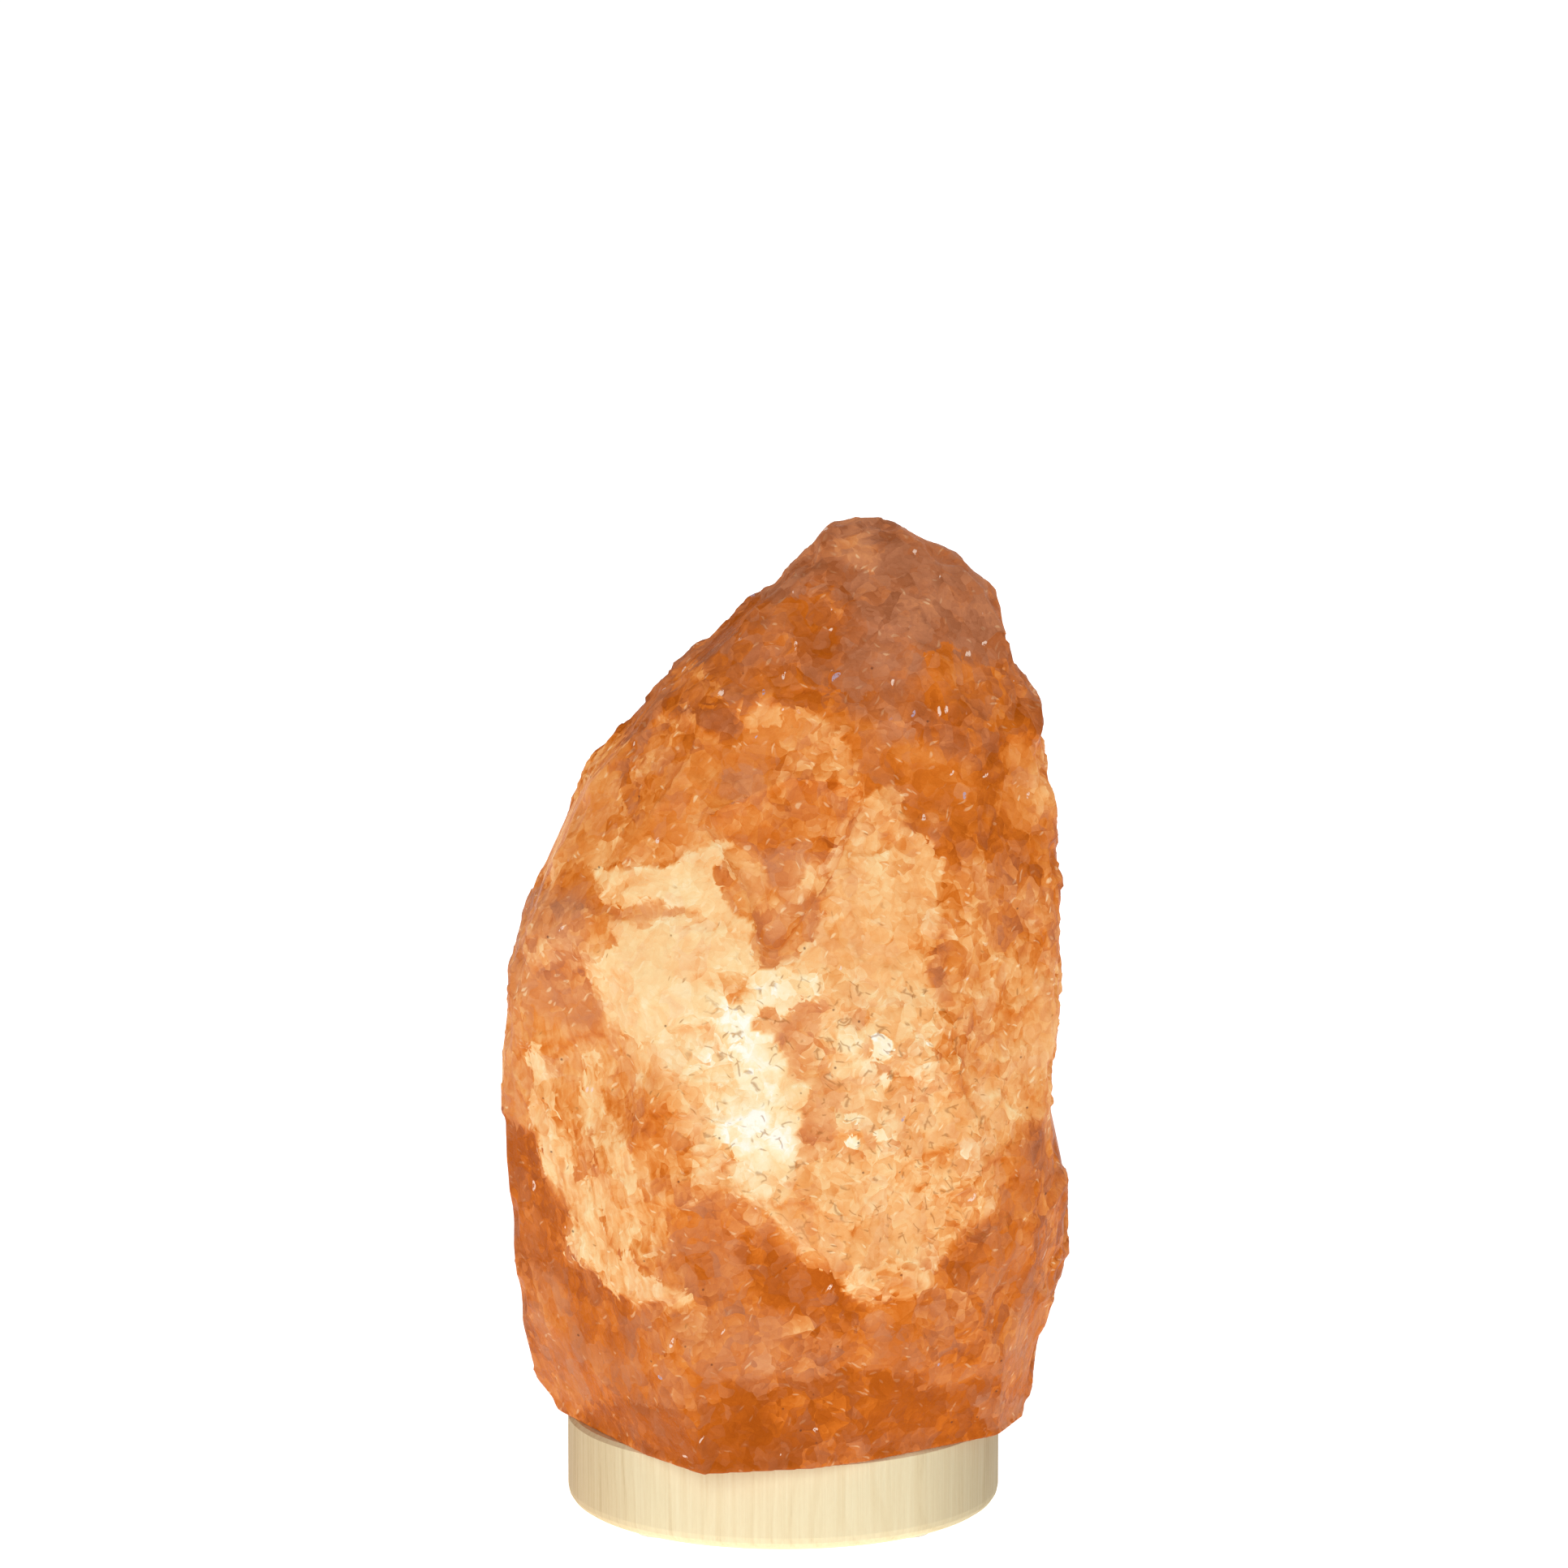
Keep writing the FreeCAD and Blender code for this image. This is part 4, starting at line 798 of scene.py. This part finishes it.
def salt_material():
    w = Wiring("lit_rock_salt")
    place = w.coords()
    bent = w.bent(place, 6.0, 2.4)
    own_glow, own_haze, ridge_light_crease_shade, back = w.attribute("look")
    bricks, strands, painted_glint_share, _ = w.attribute("mood")
    large, large_slope = facet_tones(w, bent, 10.0, (31, 12, 40))
    middle, middle_slope = facet_tones(w, bent, 4.2, (12, 35, 63))
    small, small_slope = facet_tones(w, bent, 1.7, (48, 22, 15))
    grain = w.noise(place, 0.9, 2.0, 0.65)

    # patches end where facets end
    stray = w.total((large[2], 2.4), (middle[2], 2.6), (small[2], 1.0), -3.0)
    glow, haze = lay_patches(w, place, own_glow, own_haze, stray)
    busy = w.remap(w.noise(place, 22.0, 1.0), 0.38, 0.62, 0.45, 1.15)
    brisk = w.remap(bricks, 0.0, 1.0, 1.0, 1.3)
    calm = w.remap(glow, 0.60, 0.95, 1.0, 0.5)
    # the tones differ at random; the slope terms are painted shade across each facet
    facets = w.total((large[0], 0.16), (large_slope, 0.20),
                     (middle[0], brisk, 0.15), (middle_slope, brisk, 0.22),
                     (small[0], brisk, 0.10), (small_slope, brisk, 0.14), -0.205)
    cloud = w.noise(bent, 13.0, 2.0, 0.6)
    # painted shade and light: the back gets more painted slope shade of the large facets, and
    # ridges are painted paler, creases darker
    glow = w.total(glow, (facets, busy, calm), (large_slope, back, 0.25),
                   (ridge_light_crease_shade, 0.05), (grain, 0.08), (cloud, 0.42), -0.25)
    haze = w.total(haze, (large[1], 0.5), (middle[1], 0.5), (small[1], 0.2), -0.6)

    # upright strands, a gentler rise towards white, and short strokes
    strand = w.noise(w.turned(bent, (0, -14, 0), (1, 2, 9)), 1.5, 2.0)
    glow = w.total(glow, (w.math("SUBTRACT", strand, 0.5), strands, 0.45))
    glow = w.math("MINIMUM", glow, w.remap(glow, ROLL_OFF, 1.15, ROLL_OFF, 1.0))
    drift = w.noise(place, 12.0, 1.0)
    drift_a = w.remap(drift, 0.50, 0.58)
    drift_b = w.remap(drift, 0.48, 0.40)
    pale = w.total((w.strokes(bent, 38, 1.6, 3.4, 0.55, 0.26), drift_a),
                   (w.strokes(bent, -62, 1.5, 3.0, 0.55, 0.26), drift_b))
    lit_up = w.remap(glow, 0.15, 0.7, 0.10, 0.75)
    dark = w.total((w.strokes(bent, 112, 2.2, 3.0, 0.5, 0.17), drift_b),
                   (w.strokes(bent, 28, 2.0, 3.4, 0.5, 0.16), drift_a))
    warm = w.remap(glow, 0.40, 0.62)

    clean_haze = w.math("ADD", haze, 0.0, clamp=True)
    colour = w.tint(clean_haze, w.ramp(glow, CLEAR_SALT), w.ramp(glow, MILKY_SALT))
    colour = w.tint(w.times(pale, lit_up), colour, STROKE_COLOUR)
    colour = w.tint(w.times(dark, warm, 0.55), colour, CRACK_COLOUR)

    # cracks between bricks, dark specks, and painted highlights on glinting facets, which also
    # shine more
    gap = w.cells(w.turned(bent, (0, 24, 0), (1.4, 1.0, 0.8)), 4.4,
                  "DISTANCE_TO_EDGE")["Distance"]
    crack = w.times(w.remap(gap, 0.015, 0.070, 1.0, 0.0),
                    w.remap(w.noise(place, 3.4, 1.0), 0.56, 0.62),
                    w.remap(bricks, 0.0, 1.0, 0.05, 0.55))
    colour = w.tint(crack, colour, CRACK_COLOUR)
    specks = w.cells(w.turned(place, stretch=(1, STROKE_REACH, 1)), 6.5)
    speck = w.times(w.remap(specks["Distance"], 0.03, 0.07, 1.0, 0.0),
                    w.remap(w.parts(specks["Color"])[1], 0.6, 0.62), 0.7)
    colour = w.tint(speck, colour, SPECK_COLOUR)
    flashes = w.cells(w.turned(bent, (0, 24, 0), (1, STROKE_REACH, 1.9)), 1.9)
    flash_parts = w.parts(flashes["Color"])
    painted_glint = w.times(w.remap(flashes["Distance"], 0.20, 0.30, 1.0, 0.0),
                    w.remap(flash_parts[0], w.remap(painted_glint_share, 0.0, 1.0, 0.990, 0.91), 1.0,
                            0.0, 12.0),
                    w.remap(grain, 0.42, 0.56), w.remap(drift, 0.40, 0.54))
    painted_glint = w.math("MINIMUM", painted_glint, 0.85)
    painted_glint_colour = w.tint(w.remap(flash_parts[2], 0.85, 0.86), PAINTED_GLINT_COLOUR,
                          PAINTED_COOL_GLINT_COLOUR)
    colour = w.tint(painted_glint, colour, painted_glint_colour)

    # the lit share shines by itself, the rest is lit by the studio
    lit = w.remap(glow, 0.05, 0.85, 0.5, 0.85)
    w.set(Base_Color=w.tint(lit, colour, DARK),
          Emission_Color=w.tint(lit, (0, 0, 0, 1), colour), Emission_Strength=1.0,
          Specular_IOR_Level=w.remap(painted_glint, 0.0, 1.0, 0.02, 0.6),
          Roughness=w.remap(grain, 0.3, 0.7, 0.3, 0.55))
    tone = w.total((middle_slope, 1.2), (small_slope, 0.6), (grain, 0.3))
    w.set(Normal=w.bump(tone, 0.6, 0.0012))
    return w.material


# ------------------------------ wood
def wood_material():
    """Pale turned softwood, its fibres upright, with shade painted darker towards the two sides."""
    w = Wiring("turned_pale_wood")
    place = w.coords()
    fibres = w.noise(w.turned(place, stretch=(1, 1, 40)), 0.8, 3.0, 0.65)
    weave = w.noise(w.turned(place, stretch=(1, 1, 3)), 0.6, 2.0, 0.6)
    bands = w.noise(w.turned(place, stretch=(1, 1, 60)), 6.0, 2.0)
    heart = w.vector("SUBTRACT", w.vector("MULTIPLY", place, (1, 1, 0)), (-95, 70, 0))
    out = w.vector("LENGTH", heart, output="Value")
    ring = w.math("FRACT", w.math("DIVIDE", w.total(
        out, (w.noise(place, 30.0, 1.0), 5.0)), 3.6))
    late = w.times(w.remap(ring, 0.55, 0.9, smoothly=True),
                   w.remap(ring, 0.92, 1.0, 1.0, 0.0))
    split = w.tree.nodes.new("ShaderNodeSeparateXYZ")
    w.feed(split.inputs[0], place)
    # painted shade: the left and right sides, which the front light reaches less, are painted
    # darker, the right one more
    left = w.remap(split.outputs["X"], -34.0, -60.0)
    right = w.remap(split.outputs["X"], 34.0, 60.0)
    shade = w.total((fibres, 0.8), (bands, 0.5), (late, 0.14), (weave, 0.25),
                    (left, 0.16), (right, 0.16), -0.54)
    colour = w.ramp(shade, ((0.0, (0.82, 0.74, 0.50)), (0.45, (0.75, 0.64, 0.40)),
                            (0.75, (0.62, 0.50, 0.29)), (1.0, (0.44, 0.32, 0.16))))
    colour = w.tint(left, colour, w.vector("MULTIPLY", colour, (0.86, 0.76, 0.68)))
    colour = w.tint(right, colour, w.vector("MULTIPLY", colour, (0.72, 0.70, 0.68)))
    w.set(Base_Color=colour, Roughness=w.remap(fibres, 0.3, 0.7, 0.5, 0.7),
          Normal=w.bump(fibres, 0.35, 0.0004), Specular_IOR_Level=0.1)
    return w.material


# ------------------------------ small pieces
def felt_material():
    w = Wiring("pale_felt")
    place = w.coords()
    fluff = w.noise(place, 0.5, 4.0, 0.7)
    colour = w.ramp(fluff, ((0.3, (0.66, 0.64, 0.60)), (0.7, (0.84, 0.82, 0.78))))
    w.set(Base_Color=colour, Roughness=w.remap(fluff, 0.3, 0.7, 0.85, 1.0),
          Normal=w.bump(fluff, 0.7, 0.0004), Sheen_Weight=0.3)
    return w.material


def metal_material(name, dark, light, low_gloss, high_gloss, size):
    """Drawn or plated metal with faint streaks and stains."""
    w = Wiring(name)
    place = w.coords()
    streak = w.noise(w.turned(place, stretch=(6, 6, 1)), size, 3.0, 0.6)
    stain = w.noise(place, 5.0, 3.0)
    mixed = w.total((streak, 0.5), (stain, 0.5))
    w.set(Base_Color=w.ramp(mixed, ((0.35, dark), (0.65, light))),
          Roughness=w.remap(mixed, 0.3, 0.7, low_gloss, high_gloss),
          Normal=w.bump(streak, 0.15, 0.0002), Metallic=1.0)
    return w.material


def moulded_material(name, dark, light, low_gloss, high_gloss):
    """Moulded plastic or fired ceramic with a faint orange peel."""
    w = Wiring(name)
    place = w.coords()
    peel = w.noise(place, 0.7, 2.0)
    stain = w.noise(place, 9.0, 4.0, 0.6)
    w.set(Base_Color=w.ramp(stain, ((0.3, dark), (0.7, light))),
          Roughness=w.remap(peel, 0.3, 0.7, low_gloss, high_gloss),
          Normal=w.bump(peel, 0.12, 0.0003))
    return w.material


def glass_material(name, warmth):
    w = Wiring(name)
    place = w.coords()
    wave = w.noise(place, 6.0, 1.0)
    colour = w.ramp(wave, ((0.3, (0.96, 0.97, 0.96)), (0.7, (1.0, 1.0, 1.0))))
    w.set(Base_Color=colour, Roughness=w.remap(wave, 0.3, 0.7, 0.01, 0.05),
          Normal=w.bump(wave, 0.05, 0.0005), Transmission_Weight=0.92, IOR=1.47,
          Emission_Color=(1.0, 0.62, 0.28, 1.0), Emission_Strength=warmth)
    return w.material


def filament_material():
    """Glowing wire; its turns show as fine rings of tone."""
    w = Wiring("glowing_filament")
    turns = w.math("SINE", w.times(w.parts(w.coords())[0], 16.0))
    glow = w.remap(turns, -1.0, 1.0, 0.55, 1.0)
    colour = w.tint(glow, (0.9, 0.35, 0.08, 1.0), (1.0, 0.78, 0.42, 1.0))
    w.set(Base_Color=colour, Emission_Color=colour, Emission_Strength=6.0, Roughness=0.4)
    return w.material


def dress_pieces():
    """Give every carried-over node its finish."""
    zinc = metal_material("zinc_plated_steel", (0.50, 0.52, 0.54), (0.74, 0.75, 0.76),
                          0.28, 0.45, 0.8)
    nickel = metal_material("nickel_plate", (0.62, 0.60, 0.56), (0.80, 0.78, 0.74),
                            0.14, 0.28, 0.6)
    brass = metal_material("contact_brass", (0.62, 0.43, 0.16), (0.86, 0.65, 0.30),
                           0.20, 0.38, 0.6)
    wire = metal_material("lead_wire", (0.42, 0.40, 0.38), (0.62, 0.60, 0.56),
                          0.25, 0.40, 0.4)
    holder = moulded_material("holder_thermoplastic", (0.80, 0.79, 0.75),
                              (0.88, 0.87, 0.83), 0.32, 0.42)
    plug = moulded_material("grey_nylon", (0.42, 0.42, 0.41), (0.52, 0.52, 0.50),
                            0.45, 0.6)
    ceramic = moulded_material("fired_ceramic", (0.80, 0.78, 0.72), (0.90, 0.89, 0.85),
                               0.35, 0.6)
    black = moulded_material("black_glass_insulator", (0.010, 0.010, 0.014),
                             (0.03, 0.03, 0.038), 0.10, 0.2)
    finishes = (
        (wood_material(), ("wooden_base",)),
        (felt_material(), ("foot_pads",)),
        (zinc, ("base_screws", "fitting_flange", "threaded_tube", "tube_nut",
                "spring_strap", "spring_leaf_left", "spring_leaf_right",
                "terminal_screws", "bulb_tip")),
        (nickel, ("bulb_cap",)),
        (brass, ("screw_shell", "side_contact", "terminal_clamps", "centre_contact")),
        (wire, ("lead_wires", "filament_support")),
        (holder, ("holder_cap", "holder_skirt")),
        (plug, ("screw_plugs",)),
        (ceramic, ("contact_block",)),
        (black, ("bulb_insulator",)),
        (glass_material("bulb_clear_glass", 0.12), ("bulb_glass",)),
        (glass_material("stem_glass", 0.25), ("bulb_stem",)),
        (filament_material(), ("filament",)),
    )
    for material, nodes in finishes:
        for node in nodes:
            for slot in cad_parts[node].material_slots:
                slot.link = "OBJECT"
                slot.material = material


# ------------------------------ studio
SKY_LEVEL = 0.12
FLOOR_HALF = 30.0                       # metres
FLOOR_GLOW = 0.95                       # the rest of the floor's white is lit
SOFT_BOXES = (
    # name, place, width, share of full light that it gives at the lamp
    ("front", (-0.55, -2.6, 1.1), 1.4, 0.50),
    ("rear", (0.8, 2.2, 1.5), 1.8, 0.25),
)
LAMP_MIDDLE = Vector((0, 0, 0.14))      # where the lights point


def soft_box(name, place, width, share):
    """Square soft light; a share of 1 lights a white card to full white."""
    light = bpy.data.lights.new(name, "AREA")
    light.size = width
    reach = (LAMP_MIDDLE - Vector(place)).length
    light.energy = share * math.pi ** 2 * reach ** 2
    box = bpy.data.objects.new(name, light)
    box.location = place
    box.rotation_euler = (LAMP_MIDDLE - box.location).to_track_quat("-Z", "Y").to_euler()
    bpy.context.scene.collection.objects.link(box)


def floor():
    mesh = bpy.data.meshes.new("floor")
    half = FLOOR_HALF
    mesh.from_pydata([(-half, -half, 0), (half, -half, 0), (half, half, 0),
                      (-half, half, 0)], [], [(0, 1, 2, 3)])
    w = Wiring("lit_white_table")
    w.set(Base_Color=(0.9, 0.9, 0.9, 1), Roughness=0.9, Specular_IOR_Level=0.0,
          Emission_Color=(1, 1, 1, 1), Emission_Strength=FLOOR_GLOW)
    mesh.materials.append(w.material)
    plane = bpy.data.objects.new("floor", mesh)
    bpy.context.scene.collection.objects.link(plane)


def room():
    """Dim evenly lit room; the floor fills the view behind the lamp."""
    scene = bpy.context.scene
    scene.world = bpy.data.worlds.new("dim_room")
    scene.world.use_nodes = True
    background = scene.world.node_tree.nodes["Background"]
    background.inputs["Strength"].default_value = SKY_LEVEL
    background.inputs["Color"].default_value = (1, 1, 1, 1)
    scene.view_settings.view_transform = "Standard"


def camera():
    data = bpy.data.cameras.new("eye")
    data.sensor_width = SENSOR_MM
    data.lens = FOCAL_PX / FRAME_PX * SENSOR_MM
    data.clip_end = 100.0
    eye = bpy.data.objects.new("eye", data)
    aside = (FRAME_PX / 2 - AXIS_COLUMN) / FOCAL_PX * EYE_DISTANCE
    eye.location = (aside, -EYE_BACK, EYE_HEIGHT)
    pitch = EYE_ELEVATION - math.atan((FOOT_ROW - FRAME_PX / 2) / FOCAL_PX)
    eye.rotation_euler = (math.pi / 2 - pitch, 0, 0)
    bpy.context.scene.collection.objects.link(eye)
    bpy.context.scene.camera = eye


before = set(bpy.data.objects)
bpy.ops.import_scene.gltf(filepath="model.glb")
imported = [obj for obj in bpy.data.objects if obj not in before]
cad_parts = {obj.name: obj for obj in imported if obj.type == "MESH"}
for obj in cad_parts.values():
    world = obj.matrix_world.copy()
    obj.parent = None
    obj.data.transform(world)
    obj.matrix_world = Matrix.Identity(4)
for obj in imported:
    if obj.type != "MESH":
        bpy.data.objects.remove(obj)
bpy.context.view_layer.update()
camera()
room()
floor()
for soft_light in SOFT_BOXES:
    soft_box(*soft_light)
hewn_salt()
dress_pieces()
